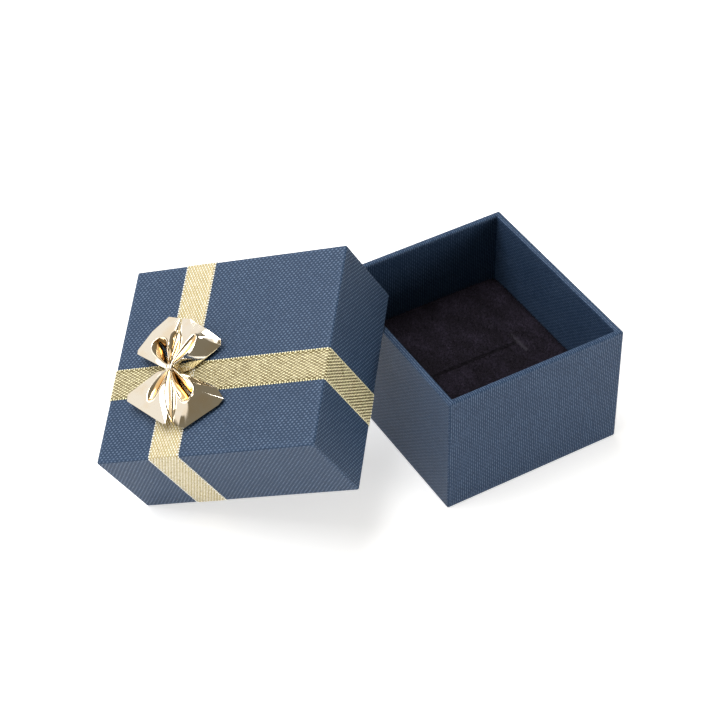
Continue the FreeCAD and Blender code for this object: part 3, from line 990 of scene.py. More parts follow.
class Growth(Wiring):
    """A geometry-node tree with named inputs, run once on a piece and then made plain."""

    def __init__(self, name: str) -> None:
        """Start a tree with one geometry input and output.

        Args:
            name: Name of the tree.
        """
        super().__init__(bpy.data.node_groups.new(name, "GeometryNodeTree"))
        self.tree.interface.new_socket("Geometry", in_out="INPUT", socket_type="NodeSocketGeometry")
        self.tree.interface.new_socket("Geometry", in_out="OUTPUT", socket_type="NodeSocketGeometry")
        self.values: dict[str, object] = {}
        self.start = self.tree.nodes.new("NodeGroupInput")

    def size(self, name: str, value: object) -> Socket:
        """Add a named input.

        Args:
            name: Its name.
            value: A float, an int, a vector, or a material.

        Returns:
            Its socket inside the tree.
        """
        kind = {float: "NodeSocketFloat", int: "NodeSocketInt", Vector: "NodeSocketVector",
                Material: "NodeSocketMaterial"}[type(value)]
        socket = self.tree.interface.new_socket(name, in_out="INPUT", socket_type=kind)
        self.values[socket.identifier] = value
        return self.start.outputs[name]

    def finish(self, geometry: Socket, material: Socket) -> None:
        """End the tree with real geometry and its material.

        Args:
            geometry: The geometry to give out.
            material: The material's socket.
        """
        real = self.add("GeometryNodeRealizeInstances", {"Geometry": geometry})
        dressed = self.add("GeometryNodeSetMaterial", {"Geometry": real.outputs[0], "Material": material})
        end = self.add("NodeGroupOutput")
        self.feed(end.inputs["Geometry"], dressed.outputs[0])

    def run(self, piece: Piece) -> None:
        """Run the tree on a piece and keep the plain result.

        Args:
            piece: The object.
        """
        modifier = piece.modifiers.new(self.tree.name, "NODES")
        modifier.node_group = self.tree
        for key, value in self.values.items():
            modifier[key] = value
        apply_modifiers(piece)

    def combine(self, x: object, y: object, z: object) -> Socket:
        """Make a vector from three numbers or sockets."""
        return self.add("ShaderNodeCombineXYZ", {0: x, 1: y, 2: z}).outputs[0]

    def random(self, low: object, high: object, seed: object) -> Socket:
        """Draw a number or a vector for each point.

        Args:
            low: Lowest value, a number or three.
            high: Highest value.
            seed: Socket of the seed.

        Returns:
            The draw's socket.
        """
        kinds = ("FLOAT_VECTOR", "VECTOR") if isinstance(low, tuple) else ("FLOAT", "VALUE")
        node = self.add("FunctionNodeRandomValue", data_type=kinds[0])
        ends = [s for s in node.inputs if s.enabled and s.type == kinds[1]]
        ends[0].default_value, ends[1].default_value = low, high
        self.feed(next(s for s in node.inputs if s.name == "Seed"), seed)
        return next(s for s in node.outputs if s.enabled)

    def store(self, inputs: dict, **settings: str) -> Socket:
        """Store a named attribute on geometry."""
        return self.add("GeometryNodeStoreNamedAttribute", inputs, **settings).outputs[0]

    def join(self, *geometries: Socket) -> Socket:
        """Join pieces of geometry."""
        node = self.add("GeometryNodeJoinGeometry")
        for geometry in geometries:
            self.feed(node.inputs[0], geometry)
        return node.outputs[0]


# ---------------------------------------------------------------- ribbons


@dataclass
class Ribbon:
    """A woven metal-thread ribbon laid over the lid, down two sides and up inside.

    A hump lifts it over the other ribbon where hump_at says so.
    """

    space: LidSpace
    node: str
    name: str
    slot: str
    along_y: bool
    hump_at: float | None = None
    hump_half: float = 3.6
    hump_rise: float = 0.22
    hump_ramp: float = 1.2
    hump_gap: float = 0.1
    hump_steps: int = 8
    settle: float = 0.05
    strap: float = 0.10
    lift: float = 0.07
    wall: float = 1.15
    rim: float = 0.42
    edge: float = 0.5
    tuck: float = 8.0
    pitch: float = 1.25
    row: float = 0.36
    selvedge: float = 0.3
    cell: float = 0.16
    bead: Point = (0.42, 0.135, 0.15)
    picot: Point = (0.25, 0.20, 0.16)
    bead_tones: Pair = (0.8, 1.0)
    picot_tones: Pair = (0.95, 1.1)
    bead_rise: float = 0.45
    picot_rise: float = 0.1
    sway: float = 0.10
    seed: int = 7

    def __post_init__(self) -> None:
        """Read the ribbon's place from the frame."""
        low, high = self.space.extent(self.node)
        axis = 0 if self.along_y else 1
        self.middle = (low[axis] + high[axis]) / 2
        self.width = high[axis] - low[axis]

    def path(self) -> list[Pair]:
        """Line of the ribbon's middle, seen from its edge.

        Returns:
            Distance along the lid and height of each point, in millimetres.
        """
        out = self.space.half[1 if self.along_y else 0]
        tall, lift, wall, rim, edge = self.space.tall, self.lift, self.wall, self.rim, self.edge
        round_rim = bend((wall - rim, rim), rim + lift, 0, -90) + bend((rim, rim), rim + lift, -90, -180)
        half = [(out - wall - lift, self.tuck), (out - wall - lift, rim + self.settle)]
        half += [(out - s.inset, s.height) for s in round_rim]
        half += [(out + lift, rim + self.settle), (out + lift, tall - edge - self.settle)]
        half += [(out - s.inset, s.height) for s in bend((edge, tall - edge), edge + lift, 180, 90)]
        half += [(out - edge - self.settle, tall + lift)]
        over = []
        if self.hump_at is not None:
            near, count = self.hump_half + self.hump_gap, self.hump_steps
            for sign in (1, -1):
                side = []
                for k in range(count + 1):
                    reach = near + self.hump_ramp * (1 - k / count)
                    rise = self.hump_rise * (1 - math.cos(math.pi * k / count)) / 2
                    side.append((self.hump_at + sign * reach, tall + lift + rise))
                over += side if sign > 0 else side[::-1]
        return half + over + [(-p, z) for p, z in reversed(half)]

    def spread(self, across: float, along: float, height: float) -> Vector:
        """Put a point of the ribbon's edge view into the lid's frame."""
        return Vector((across, along, height)) if self.along_y else Vector((along, across, height))

    def build(self, finish: Material) -> None:
        """Weave the ribbon: a thin strap, floats in staggered rows, and a beaded edge on both sides.

        Args:
            finish: The thread's material.
        """
        line = [self.space.matrix @ (self.spread(self.middle, p, z) * MM) for p, z in self.path()]
        mesh = bpy.data.meshes.new(self.name)
        mesh.from_pydata(line, [(k, k + 1) for k in range(len(line) - 1)], [])
        piece = bpy.data.objects.new(self.name, mesh)
        bpy.context.scene.collection.objects.link(piece)
        length = sum((b - a).length for a, b in zip(line, line[1:]))
        across = self.space.matrix.to_3x3() @ self.spread(1.0, 0.0, 0.0)
        self.weave(length, across, finish).run(piece)
        piece.data.shade_smooth()
        hand_over(piece, Body.LID, self.slot, self.node)

    def weave(self, length: float, across: Vector, finish: Material) -> Growth:
        """Write the tree that weaves along a line.

        Args:
            length: Length of the line in metres.
            across: Direction of the ribbon's width.
            finish: The thread's material.

        Returns:
            The tree.
        """
        g = Growth(self.name + "_weave")
        width = g.size("Width", self.width * MM)
        pitch = g.size("Float Pitch", self.pitch * MM)
        row = g.size("Row Pitch", self.row * MM)
        strap = g.size("Strap Thickness", self.strap * MM)
        side = g.size("Across", across)
        material = g.size("Material", finish)
        seed = g.size("Seed", self.seed)
        curve = g.add("GeometryNodeMeshToCurve", {"Mesh": g.start.outputs["Geometry"]}).outputs[0]
        bead, picot = self.knot(g, self.bead), self.knot(g, self.picot)
        beads = self.scatter(g, self.float_points(g, length, pitch, row), bead, seed, self.bead_tones)
        picots = self.scatter(g, self.edge_points(g, length, width, pitch), picot, seed, self.picot_tones)
        joined = g.join(self.tape(g, length, width, strap), picots, beads)
        real = g.add("GeometryNodeRealizeInstances", {"Geometry": joined}).outputs[0]
        place = g.add("GeometryNodeInputPosition").outputs[0]
        split = g.add("ShaderNodeSeparateXYZ", {0: place})
        flat = {"Geometry": real, "Name": WEAVE_MAP, "Value": g.scaled(place, 1 / MM)}
        stored = g.store(flat, data_type="FLOAT2", domain="CORNER")
        reach = g.add("ShaderNodeClamp", {0: split.outputs[0], 1: 0.0, 2: length}).outputs[0]
        sample = g.add("GeometryNodeSampleCurve", {"Curves": curve}, mode="LENGTH", use_all_curves=True)
        g.feed(next(s for s in sample.inputs if s.name == "Length"), reach)
        normal = g.vector("NORMALIZE", g.vector("CROSS_PRODUCT", sample.outputs["Tangent"], side))
        sideways, upward = g.scaled(side, split.outputs[1]), g.scaled(normal, split.outputs[2])
        target = g.vector("ADD", g.vector("ADD", sample.outputs["Position"], sideways), upward)
        laid = g.add("GeometryNodeSetPosition", {"Geometry": stored, "Position": target}).outputs[0]
        g.finish(laid, material)
        return g

    def knot(self, g: Growth, size: Point) -> Socket:
        """Make one rounded float or edge bead.

        Args:
            g: The tree.
            size: Its half length, half width and half height.

        Returns:
            Its socket.
        """
        ball = g.add("GeometryNodeMeshUVSphere", {"Segments": 6, "Rings": 4, "Radius": 1.0}).outputs[0]
        return g.add("GeometryNodeTransform", {"Geometry": ball, "Scale": Vector(size) * MM}).outputs[0]

    def float_points(self, g: Growth, length: float, pitch: object, row: object) -> Socket:
        """Place the floats in staggered rows on the flat ribbon.

        Args:
            g: The tree.
            length: Length of the ribbon in metres.
            pitch: Socket of the distance between floats of one row.
            row: Socket of the distance between rows.

        Returns:
            Socket of the points.
        """
        rows = int((self.width - self.selvedge) / self.row)
        count = int(length / MM / self.pitch) - 1
        grid = g.add("GeometryNodeMeshGrid", {"Vertices X": count, "Vertices Y": rows})
        g.feed(grid.inputs["Size X"], g.math("MULTIPLY", pitch, count - 1.0))
        g.feed(grid.inputs["Size Y"], g.math("MULTIPLY", row, rows - 1.0))
        index = g.add("GeometryNodeInputIndex").outputs[0]
        odd = g.math("MODULO", g.math("MODULO", index, float(rows)), 2.0)
        shift = g.math("MULTIPLY", odd, g.math("MULTIPLY", pitch, 0.5))
        start = g.math("ADD", shift, length / 2 - self.pitch * MM / 4)
        offset = g.combine(start, 0.0, self.strap * MM * self.bead_rise)
        return g.add("GeometryNodeSetPosition", {"Geometry": grid.outputs[0], "Offset": offset}).outputs[0]

    def edge_points(self, g: Growth, length: float, width: object, pitch: object) -> Socket:
        """Place the edge beads on both sides of the flat ribbon.

        Args:
            g: The tree.
            length: Length of the ribbon in metres.
            width: Socket of the ribbon's width.
            pitch: Socket of the distance between floats of one row.

        Returns:
            Socket of the points.
        """
        count = int(length / MM / self.pitch * 2) - 1
        grid = g.add("GeometryNodeMeshGrid", {"Vertices X": count, "Vertices Y": 2})
        g.feed(grid.inputs["Size X"], g.math("MULTIPLY", pitch, (count - 1) / 2))
        g.feed(grid.inputs["Size Y"], width)
        offset = g.combine(length / 2, 0.0, self.strap * MM * self.picot_rise)
        return g.add("GeometryNodeSetPosition", {"Geometry": grid.outputs[0], "Offset": offset}).outputs[0]

    def scatter(self, g: Growth, points: object, shape: object, seed: object, tones: Pair) -> Socket:
        """Put a shape on each point, each with its own tone and a small turn.

        Args:
            g: The tree.
            points: Socket of the points.
            shape: Socket of the shape.
            seed: Socket of the seed.
            tones: Darkest and lightest tone.

        Returns:
            Socket of the instances.
        """
        tone = g.random(tones[0], tones[1], seed)
        turn = g.random((0, 0, -self.sway), (0, 0, self.sway), seed)
        rotation = g.add("FunctionNodeEulerToRotation", {0: turn}).outputs[0]
        laid = {"Points": points, "Instance": shape, "Rotation": rotation}
        placed = g.add("GeometryNodeInstanceOnPoints", laid).outputs[0]
        toned = {"Geometry": placed, "Name": TONE, "Value": tone}
        return g.store(toned, data_type="FLOAT", domain="INSTANCE")

    def tape(self, g: Growth, length: float, width: object, strap: object) -> Socket:
        """Make the thin strap under the floats, flat, with both faces and edges.

        Args:
            g: The tree.
            length: Length of the ribbon in metres.
            width: Socket of the ribbon's width.
            strap: Socket of the strap's thickness.

        Returns:
            Socket of the strap.
        """
        cells = int(length / MM / self.cell)
        box = g.add("GeometryNodeMeshCube", {"Vertices X": cells, "Vertices Y": 8, "Vertices Z": 2})
        g.feed(box.inputs["Size"], g.combine(length, width, strap))
        moved = {"Geometry": box.outputs[0], "Translation": (length / 2, 0, 0)}
        return g.add("GeometryNodeTransform", moved).outputs[0]


# ---------------------------------------------------------------- pad


@dataclass
class Pad:
    """The slit pad: foam under velvet, soft at its edges, with a ring slit and two end cuts."""

    crown: float = 0.5
    edge: float = 1.7
    slit_half: float = 12.1
    cut_half: float = 3.25
    mouth: float = 0.7
    roll: float = 2.6
    depth: float = 4.5
    ruffle: float = 9.0
    swell: float = 0.05
    ripple: float = 0.03
    face_gap: float = 0.1
    side_gap: float = 0.05
    velvet: float = 0.5
    pile: float = 0.6
    lap: float = 5.0
    tuft: float = 0.42
    tuft_width: float = 0.05
    tuft_lean: float = 0.55
    tufts_per_square: float = 20.0
    seed: int = 11

    def __post_init__(self) -> None:
        """Read the pad's outside from the frame."""
        low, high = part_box("insert_velvet")
        self.half = ((high.x - low.x) / 2 / MM, (high.y - low.y) / 2 / MM)
        self.bottom, self.top = low.z / MM, high.z / MM
        self.card_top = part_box("insert_card")[1].z / MM

    def level(self, x: float, y: float, half: Pair, skin: float) -> Pair:
        """Height of the pad's top.

        Args:
            x: Place across.
            y: Place along.
            half: Half of the size at this layer.
            skin: Depth of this layer under the velvet's face.

        Returns:
            Height, and how much the spot is ruffled.
        """
        radius = self.edge
        gap_x, gap_y = half[0] - abs(x), half[1] - abs(y)
        both = math.hypot(max(radius - gap_x, 0), max(radius - gap_y, 0)) / radius
        drop = radius * (1 - math.sqrt(max(1 - min(both, 1) ** 2, 0.0)))
        crown = self.crown * ((x / half[0]) ** 4 + (y / half[1]) ** 4) / 2
        wave = self.swell * math.sin(0.31 * x + 0.9) * math.sin(0.27 * y)
        wave += self.ripple * math.sin(0.8 * x + 0.45 * y)
        reach = self.mouth + skin
        cut = max(self.notch(abs(y), reach, abs(x) - self.slit_half),
                  self.notch(abs(abs(x) - self.slit_half), reach, abs(y) - self.cut_half))
        height = self.top - self.face_gap - skin - drop - crown + wave * (1 - min(both, 1))
        return height - cut * self.depth, min(1.0, cut * self.ruffle)

    def notch(self, away: float, reach: float, past: float) -> float:
        """Share of a cut's depth at a spot.

        Args:
            away: Distance from the cut's line.
            reach: Half of the width over which the lips roll in.
            past: Distance beyond the cut's end, negative inside.

        Returns:
            0 on the face, 1 at the bottom of the cut.
        """
        side = max(0.0, 1 - away / reach) ** self.roll
        end = min(1.0, max(0.0, 0.5 - past))
        return side * end

    def spots(self, half: float, lines: tuple[float, ...]) -> list[float]:
        """Grid lines along one direction, closer near the cuts and the edges.

        Args:
            half: Half of the size.
            lines: Places that need closer lines.

        Returns:
            Sorted places.
        """
        fine = [line + offset for line in lines for offset in np.linspace(-1.0, 1.0, 21)]
        gaps = (0.0, 0.04, 0.15, 0.32, 0.55, 0.85, 1.25, 1.8)
        rim = [sign * (half - gap) for sign in (1, -1) for gap in gaps]
        wide = [value for value in np.linspace(-half + 2.3, half - 2.3, int(half * 1.9))
                if all(abs(value - line) > 1.15 for line in lines)]
        return sorted(set(round(value, 4) for value in fine + rim + wide if abs(value) <= half))

    def draft(self, half: Pair, skin: float, foot: float, lap: float) -> tuple[Draft, list[int]]:
        """Draw the pad's skin: top, sides and the lap under it.

        Args:
            half: Half of the size at this layer.
            skin: Depth of this layer under the velvet's face.
            foot: Height of the underside.
            lap: Width of the flap turned under the pad.

        Returns:
            The open skin, and the points round its opening.
        """
        draft = Draft()
        xs = self.spots(half[0], (-self.slit_half, self.slit_half))
        ys = self.spots(half[1], (0.0, -self.cut_half, self.cut_half))
        grid = []
        for y in ys:
            grid.append([])
            for x in xs:
                height, ruffle = self.level(x, y, half, skin)
                grid[-1].append(draft.add_point((x, y, height), ruffle))
        draft.add_grid(grid)
        loop = grid[0] + [row[-1] for row in grid[1:]] + grid[-1][-2::-1] + [row[0] for row in grid[-2:0:-1]]
        rings = [loop]
        for rise, inset in ((6.0, 0.0), (0.5, 0.0), (0.15, 0.12), (0.0, 0.5), (0.0, lap)):
            share_x, share_y = (half[0] - inset) / half[0], (half[1] - inset) / half[1]
            rings.append([draft.add_point((draft.points[point][0] * share_x, draft.points[point][1] * share_y,
                                           foot + rise)) for point in loop])
        for high, low in zip(rings, rings[1:]):
            for j in range(len(loop)):
                k = (j + 1) % len(loop)
                draft.add_face((low[j], low[k], high[k], high[j]))
        return draft, rings[-1]

    def build_velvet(self, finish: Material) -> None:
        """Build the velvet with its pile.

        Args:
            finish: The velvet's material.
        """
        half = (self.half[0] - self.side_gap, self.half[1] - self.side_gap)
        skin, _ = self.draft(half, 0.0, self.bottom, self.lap)
        piece = skin.build("insert_velvet_cover", Matrix(), finish)
        thick = piece.modifiers.new("thickness", "SOLIDIFY")
        thick.thickness, thick.offset = self.velvet * MM, -1.0
        apply_modifiers(piece)
        self.grow_pile(finish).run(piece)
        hand_over(piece, Body.INSERT, "velvet", "insert_velvet")

    def grow_pile(self, finish: Material) -> Growth:
        """Write the tree that grows short tufts on the pad's face.

        Args:
            finish: The velvet's material.

        Returns:
            The tree.
        """
        g = Growth("velvet_pile")
        density = g.size("Tufts per Square Metre", self.tufts_per_square / MM / MM)
        tall = g.size("Tuft Height", self.tuft * MM)
        thick = g.size("Tuft Width", self.tuft_width * MM)
        seed = g.size("Seed", self.seed)
        material = g.size("Material", finish)
        skin = g.start.outputs["Geometry"]
        normal = g.add("GeometryNodeInputNormal").outputs[0]
        place = g.add("GeometryNodeInputPosition").outputs[0]
        up = g.add("ShaderNodeSeparateXYZ", {0: normal}).outputs[2]
        high = g.add("ShaderNodeSeparateXYZ", {0: place}).outputs[2]
        floor = (self.top - self.edge - 1.5) * MM
        face = g.math("MULTIPLY", g.math("GREATER_THAN", up, 0.25), g.math("GREATER_THAN", high, floor))
        points = g.add("GeometryNodeDistributePointsOnFaces", {"Mesh": skin, "Selection": face,
                                                               "Density": density, "Seed": seed})
        size = {"Vertices": 3, "Side Segments": 1, "Radius Top": 0.0, "Radius Bottom": thick, "Depth": tall}
        blade = g.add("GeometryNodeMeshCone", size, fill_type="NONE").outputs[0]
        most = self.tuft_lean
        drawn = g.random((-most, -most, 0.0), (most, most, 6.28), seed)
        lean = g.add("FunctionNodeEulerToRotation", {0: drawn}).outputs[0]
        turn = g.add("FunctionNodeRotateRotation", {0: points.outputs["Rotation"], 1: lean},
                     rotation_space="LOCAL").outputs[0]
        grown = g.add("GeometryNodeInstanceOnPoints", {"Points": points.outputs[0], "Instance": blade,
                                                       "Rotation": turn}).outputs[0]
        g.finish(g.join(grown, skin), material)
        return g

    def build_foam(self, finish: Material) -> None:
        """Build the foam under the velvet.

        Args:
            finish: The foam's material.
        """
        gap = self.pile + self.side_gap
        half = (self.half[0] - gap, self.half[1] - gap)
        draft, opening = self.draft(half, self.pile, self.card_top, half[0] - 0.5)
        draft.add_face(tuple(reversed(opening)))
        piece = draft.build("insert_foam_block", Matrix(), finish)
        hand_over(piece, Body.INSERT, "foam", "insert_foam")

    def dress_hidden(self, card: Material) -> None:
        """Give the card under the foam its finish."""
        dress_node("insert_card", card)


# ---------------------------------------------------------------- bow


def curve_through(knots: list[Point], shares: np.ndarray) -> np.ndarray:
    """Smooth curve through points.

    Args:
        knots: Points to pass through.
        shares: Where to sample, 0 to 1, the same share for each span.

    Returns:
        One point for each share.
    """
    data = np.array(knots, float)
    data = np.vstack([2 * data[0] - data[1], data, 2 * data[-1] - data[-2]])
    spans = len(knots) - 1
    result = []
    for share in shares:
        span = min(int(share * spans), spans - 1)
        t = share * spans - span
        a, b, c, d = data[span:span + 4]
        result.append(0.5 * (2 * b + (c - a) * t + (2 * a - 5 * b + 4 * c - d) * t * t
                             + (3 * b - a - 3 * c + d) * t ** 3))
    return np.array(result)


def unit(vector: np.ndarray) -> np.ndarray:
    """The vector at length one."""
    return vector / max(np.linalg.norm(vector), 1e-6)


@dataclass(frozen=True)
class Loop:
    """One loop of the bow: a teardrop rim, and a skirt that flares to cut edges near the lid.

    Each row of lip_inside and lip_outside holds a reach from the rim, a drop and a share of the painted warm
    reflection.
    """

    rim: tuple[Point, ...]
    skirt: tuple[tuple[float, Point], ...]
    trough: float
    flare: float = 0.12
    sections: int = 73
    corner_gap: float = 0.006
    belly: float = 0.25
    foil: float = 0.14
    lip_inside: tuple[Point, ...] = ((0.16, 0.12, 0.2), (0.06, 0.03, 0.0))
    lip_outside: tuple[Point, ...] = ((0.10, 0.0, 0.0), (0.17, 0.04, 0.0), (0.24, 0.2, 0.2),
                                      (0.30, 0.36, 0.0))

    def shares(self) -> np.ndarray:
        """Where the sections stand, with close pairs at the skirt's corners."""
        even = np.linspace(0, 1, self.sections)
        gaps = (-self.corner_gap, 0.0, self.corner_gap)
        corners = [share + gap for share, _ in self.skirt[1:-1] for gap in gaps]
        return np.array(sorted(set(np.round(np.clip([*even, *corners], 0, 1), 4))))

    def draw(self, draft: Draft) -> None:
        """Add the loop to a mesh.

        Args:
            draft: Mesh to add to, in the bow's frame.
        """
        shares = self.shares()
        rim = curve_through(list(self.rim), shares)
        back = curve_through(list(self.rim), 1 - shares)
        middle = (rim + back) / 2
        at = [share for share, _ in self.skirt]
        hems = [np.interp(shares, at, [place[axis] for _, place in self.skirt]) for axis in range(3)]
        rows = []
        for edge, centre, hem in zip(rim, middle, np.array(hems).T):
            points = self.section(edge, centre, hem)
            rows.append([draft.add_point(tuple(point), tone) for point, tone in points])
        draft.add_grid(rows, close=True)
        draft.add_face(tuple(reversed(rows[0])))
        draft.add_face(tuple(rows[-1]))

    def section(self, edge: np.ndarray, centre: np.ndarray,
                hem: np.ndarray) -> list[tuple[np.ndarray, float]]:
        """Cut the loop across its rim: up from the trough, round the lip, down the skirt and back under.

        Args:
            edge: Point of the rim.
            centre: Middle of the loop's mouth there.
            hem: Point of the skirt's hem.

        Returns:
            Each point of the section with its share of the painted warm reflection.
        """
        level, up = np.array([1.0, 1.0, 0.0]), np.array([0.0, 0.0, 1.0])
        inward = (centre - edge) * level
        inward = unit(inward) if np.linalg.norm(inward) > 0.05 else np.zeros(3)
        out = unit((hem - edge) * level)
        deep = edge + (centre - edge) * 0.86
        deep[2] = self.trough
        lip = [(edge + inward * reach - up * drop, tone) for reach, drop, tone in self.lip_inside]
        lip += [(edge + out * reach - up * drop, tone) for reach, drop, tone in self.lip_outside]
        lip_in, lip_out = lip[0][0], lip[-1][0]
        # Tones here are shares of the foil's painted warm reflection: full in the trough, fading up the inner
        # wall, a little on the lip and under the hem.
        points = [(deep, 1.0)]
        points += [(deep + (lip_in - deep) * t + inward * self.belly * math.sin(math.pi * t), 1.0 - 0.6 * t)
                   for t in (0.3, 0.6, 0.85)]
        points += lip
        for t in (0.06, 0.2, 0.4, 0.6, 0.8, 0.95, 1.0):
            sag = up * self.flare * math.sin(math.pi * t) * (lip_out[2] - hem[2])
            points.append((lip_out + (hem - lip_out) * t - sag, 0.0))
        under = hem - out * 0.05 - up * self.foil
        return points + [(under, 0.3), (deep - up * (self.trough - 0.55), 0.3)]


@dataclass(frozen=True)
class Fold:
    """A pointed fold of foil that stands between two loops."""

    spine: tuple[Point, ...]
    widths: tuple[float, ...]
    foot: float = 0.9
    ridge: float = 0.5
    sections: int = 33
    least_width: float = 0.04

    def draw(self, draft: Draft) -> None:
        """Add the fold to a mesh.

        Args:
            draft: Mesh to add to, in the bow's frame.
        """
        shares = np.linspace(0, 1, self.sections)
        spine = curve_through(list(self.spine), shares)
        widths = curve_through([(w, 0, 0) for w in self.widths], shares)[:, 0]
        rows = []
        for index, (centre, width) in enumerate(zip(spine, widths)):
            ahead = spine[min(index + 1, len(spine) - 1)] - spine[max(index - 1, 0)]
            side = unit(np.array([-ahead[1], ahead[0], 0.0])) * max(width, self.least_width)
            top = centre[2]
            flank = [(1.3, self.foot), (1.05, top - 1.1), (0.95, top - 0.4), (0.82, top - 0.06), (0.7, top),
                     (0.55, top - 0.14), (0.3, top - self.ridge)]
            outline = [(-reach, height) for reach, height in flank]
            outline += [(0.0, top - self.ridge * 1.3)] + flank[::-1]
            section = []
            for reach, height in outline:
                x, y, _ = centre + side * reach
                point = (x, y, max(height, self.foot * 0.9))
                # The middle of the fold carries the foil's painted warm reflection.
                section.append(draft.add_point(point, 1.0 if abs(reach) < 0.4 else 0.0))
            rows.append(section)
        for low, high in zip(rows, rows[1:]):
            for j in range(len(low)):
                k = (j + 1) % len(low)
                draft.add_face((low[j], high[j], high[k], low[k]))
        draft.add_face(tuple(rows[0]))
        draft.add_face(tuple(reversed(rows[-1])))


@dataclass
class Bow:
    """The foil bow on the ribbon crossing."""

    space: LidSpace
    glue: float = 1.9
    glue_sides: int = 28
    glue_rings: tuple[Pair, ...] = ((0.05, 0.0), (0.9, 0.0), (1.0, 0.12), (0.96, 0.4), (0.8, 0.75),
                                    (0.5, 0.96), (0.05, 1.0))
    band_line: tuple[Point, ...] = ((-1.15, 0, 1.0), (-1.1, 0, 3.2), (-0.8, 0, 4.6), (0, 0, 5.0),
                                    (0.8, 0, 4.6), (1.1, 0, 3.2), (1.15, 0, 1.0))
    band_section: tuple[Pair, ...] = ((-0.7, -0.03), (-0.68, 0.06), (-0.4, 0.12), (-0.15, 0.05), (0.15, 0.05),
                                      (0.4, 0.12), (0.68, 0.06), (0.7, -0.03), (0.4, -0.1), (-0.4, -0.1))
    upper: tuple[Loop, ...] = (
        Loop(rim=((-0.45, 0.35, 4.7), (-3.2, 2.3, 4.4), (-5.9, 4.9, 3.9), (-6.6, 7.2, 3.5), (-4.9, 8.6, 3.4),
                  (-3.1, 7.6, 3.7), (-1.7, 4.2, 4.3), (-0.25, 0.55, 4.7)),
             skirt=((0.0, (-0.8, -0.1, 3.6)), (0.06, (-4.6, 1.9, 3.3)), (0.30, (-10.4, 5.2, 2.9)),
                    (0.36, (-10.9, 6.6, 2.3)), (0.50, (-8.0, 10.8, 2.5)), (0.66, (-4.4, 14.0, 2.6)),
                    (0.78, (-1.5, 13.4, 2.4)), (0.90, (-0.9, 8.0, 1.6)), (1.0, (-0.1, 1.0, 1.4))),
             trough=1.7),
        Loop(rim=((0.05, 0.55, 4.7), (1.3, 3.4, 4.5), (2.6, 6.2, 4.2), (4.0, 7.9, 4.1), (4.9, 6.6, 4.3),
                  (4.1, 4.3, 4.4), (2.2, 1.8, 4.6), (0.4, 0.3, 4.7)),
             skirt=((0.0, (0.1, 1.0, 1.4)), (0.14, (-0.6, 8.4, 2.6)), (0.30, (-0.5, 12.9, 3.0)),
                    (0.40, (1.4, 12.6, 3.0)), (0.46, (6.3, 9.5, 2.9)), (0.51, (9.9, 6.9, 2.3)),
                    (0.545, (9.5, 6.2, 1.2)), (0.66, (8.2, 5.2, 0.9)), (0.90, (3.2, 1.4, 0.8)),
                    (1.0, (0.8, 0.2, 1.2))),
             trough=2.0, flare=0.04),
    )
    lower: tuple[Loop, ...] = (
        Loop(rim=((-0.15, -0.55, 4.7), (-0.9, -2.6, 4.5), (-2.1, -5.0, 4.1), (-3.7, -6.9, 3.6),
                  (-5.0, -6.6, 3.5), (-4.8, -4.6, 3.8), (-2.9, -2.2, 4.3), (-0.4, -0.2, 4.7)),
             skirt=((0.0, (-0.1, -1.0, 1.4)), (0.10, (0.2, -6.0, 2.6)), (0.32, (0.3, -12.6, 2.6)),
                    (0.36, (-0.6, -12.4, 2.4)), (0.62, (-11.0, -5.9, 2.2)), (0.67, (-11.0, -4.5, 2.5)),
                    (0.90, (-3.8, -0.1, 3.4)), (1.0, (-0.8, 0.0, 3.6))),
             trough=1.8),
        Loop(rim=((0.45, -0.2, 4.7), (2.9, -2.0, 4.6), (5.8, -4.2, 4.4), (6.8, -6.3, 4.4), (5.4, -8.3, 4.1),
                  (3.3, -7.3, 4.0), (1.5, -4.2, 4.3), (0.15, -0.6, 4.7)),
             skirt=((0.0, (0.8, -0.2, 3.4)), (0.12, (4.6, -1.8, 2.7)), (0.32, (10.3, -4.0, 1.0)),
                    (0.40, (12.5, -6.9, 0.9)), (0.44, (11.4, -8.2, 0.7)), (0.60, (4.0, -13.1, 0.8)),
                    (0.65, (3.2, -13.0, 1.6)), (0.72, (2.0, -12.4, 2.4)),
                    (0.90, (1.0, -6.0, 2.6)), (1.0, (0.1, -1.0, 1.4))),
             trough=1.9, flare=0.03),
    )
    folds: tuple[Fold, ...] = (
        Fold(spine=((-0.2, 0.4, 4.9), (-0.6, 3.2, 4.6), (-1.2, 6.2, 4.1), (-1.5, 8.8, 3.6),
                    (-1.4, 10.6, 2.6)),
             widths=(0.15, 0.45, 0.85, 1.05, 0.35)),
        Fold(spine=((0.0, -0.4, 5.0), (0.25, -3.2, 4.7), (0.6, -6.0, 4.3), (1.05, -9.2, 3.5),
                    (1.5, -12.0, 2.2)),
             widths=(0.25, 0.85, 1.25, 0.95, 0.1), ridge=0.22),
    )

    def __post_init__(self) -> None:
        """Read the bow's place from the frame: X along the lid's long side, Y across it."""
        low, high = self.space.extent("bow_glue_dot")
        origin = Vector(((low.x + high.x) / 2, (low.y + high.y) / 2, self.space.tall)) * MM
        turn = Matrix(((0, 1, 0), (-1, 0, 0), (0, 0, 1)))
        self.matrix = self.space.matrix @ Matrix.Translation(origin) @ turn.to_4x4()

    def build(self, finish: Material) -> None:
        """Build the two strips of loops and the band.

        Args:
            finish: The foil's material.
        """
        for name, loops, fold, node in (("bow_upper_foil", self.upper, self.folds[0], "bow_upper_loops"),
                                        ("bow_lower_foil", self.lower, self.folds[1], "bow_lower_loops")):
            draft = Draft()
            for loop in loops:
                loop.draw(draft)
            fold.draw(draft)
            piece = draft.build(name, self.matrix, finish, 50.0)
            mend_normals(piece)
            hand_over(piece, Body.LID, "gold_foil", node)
        self.build_band(finish)

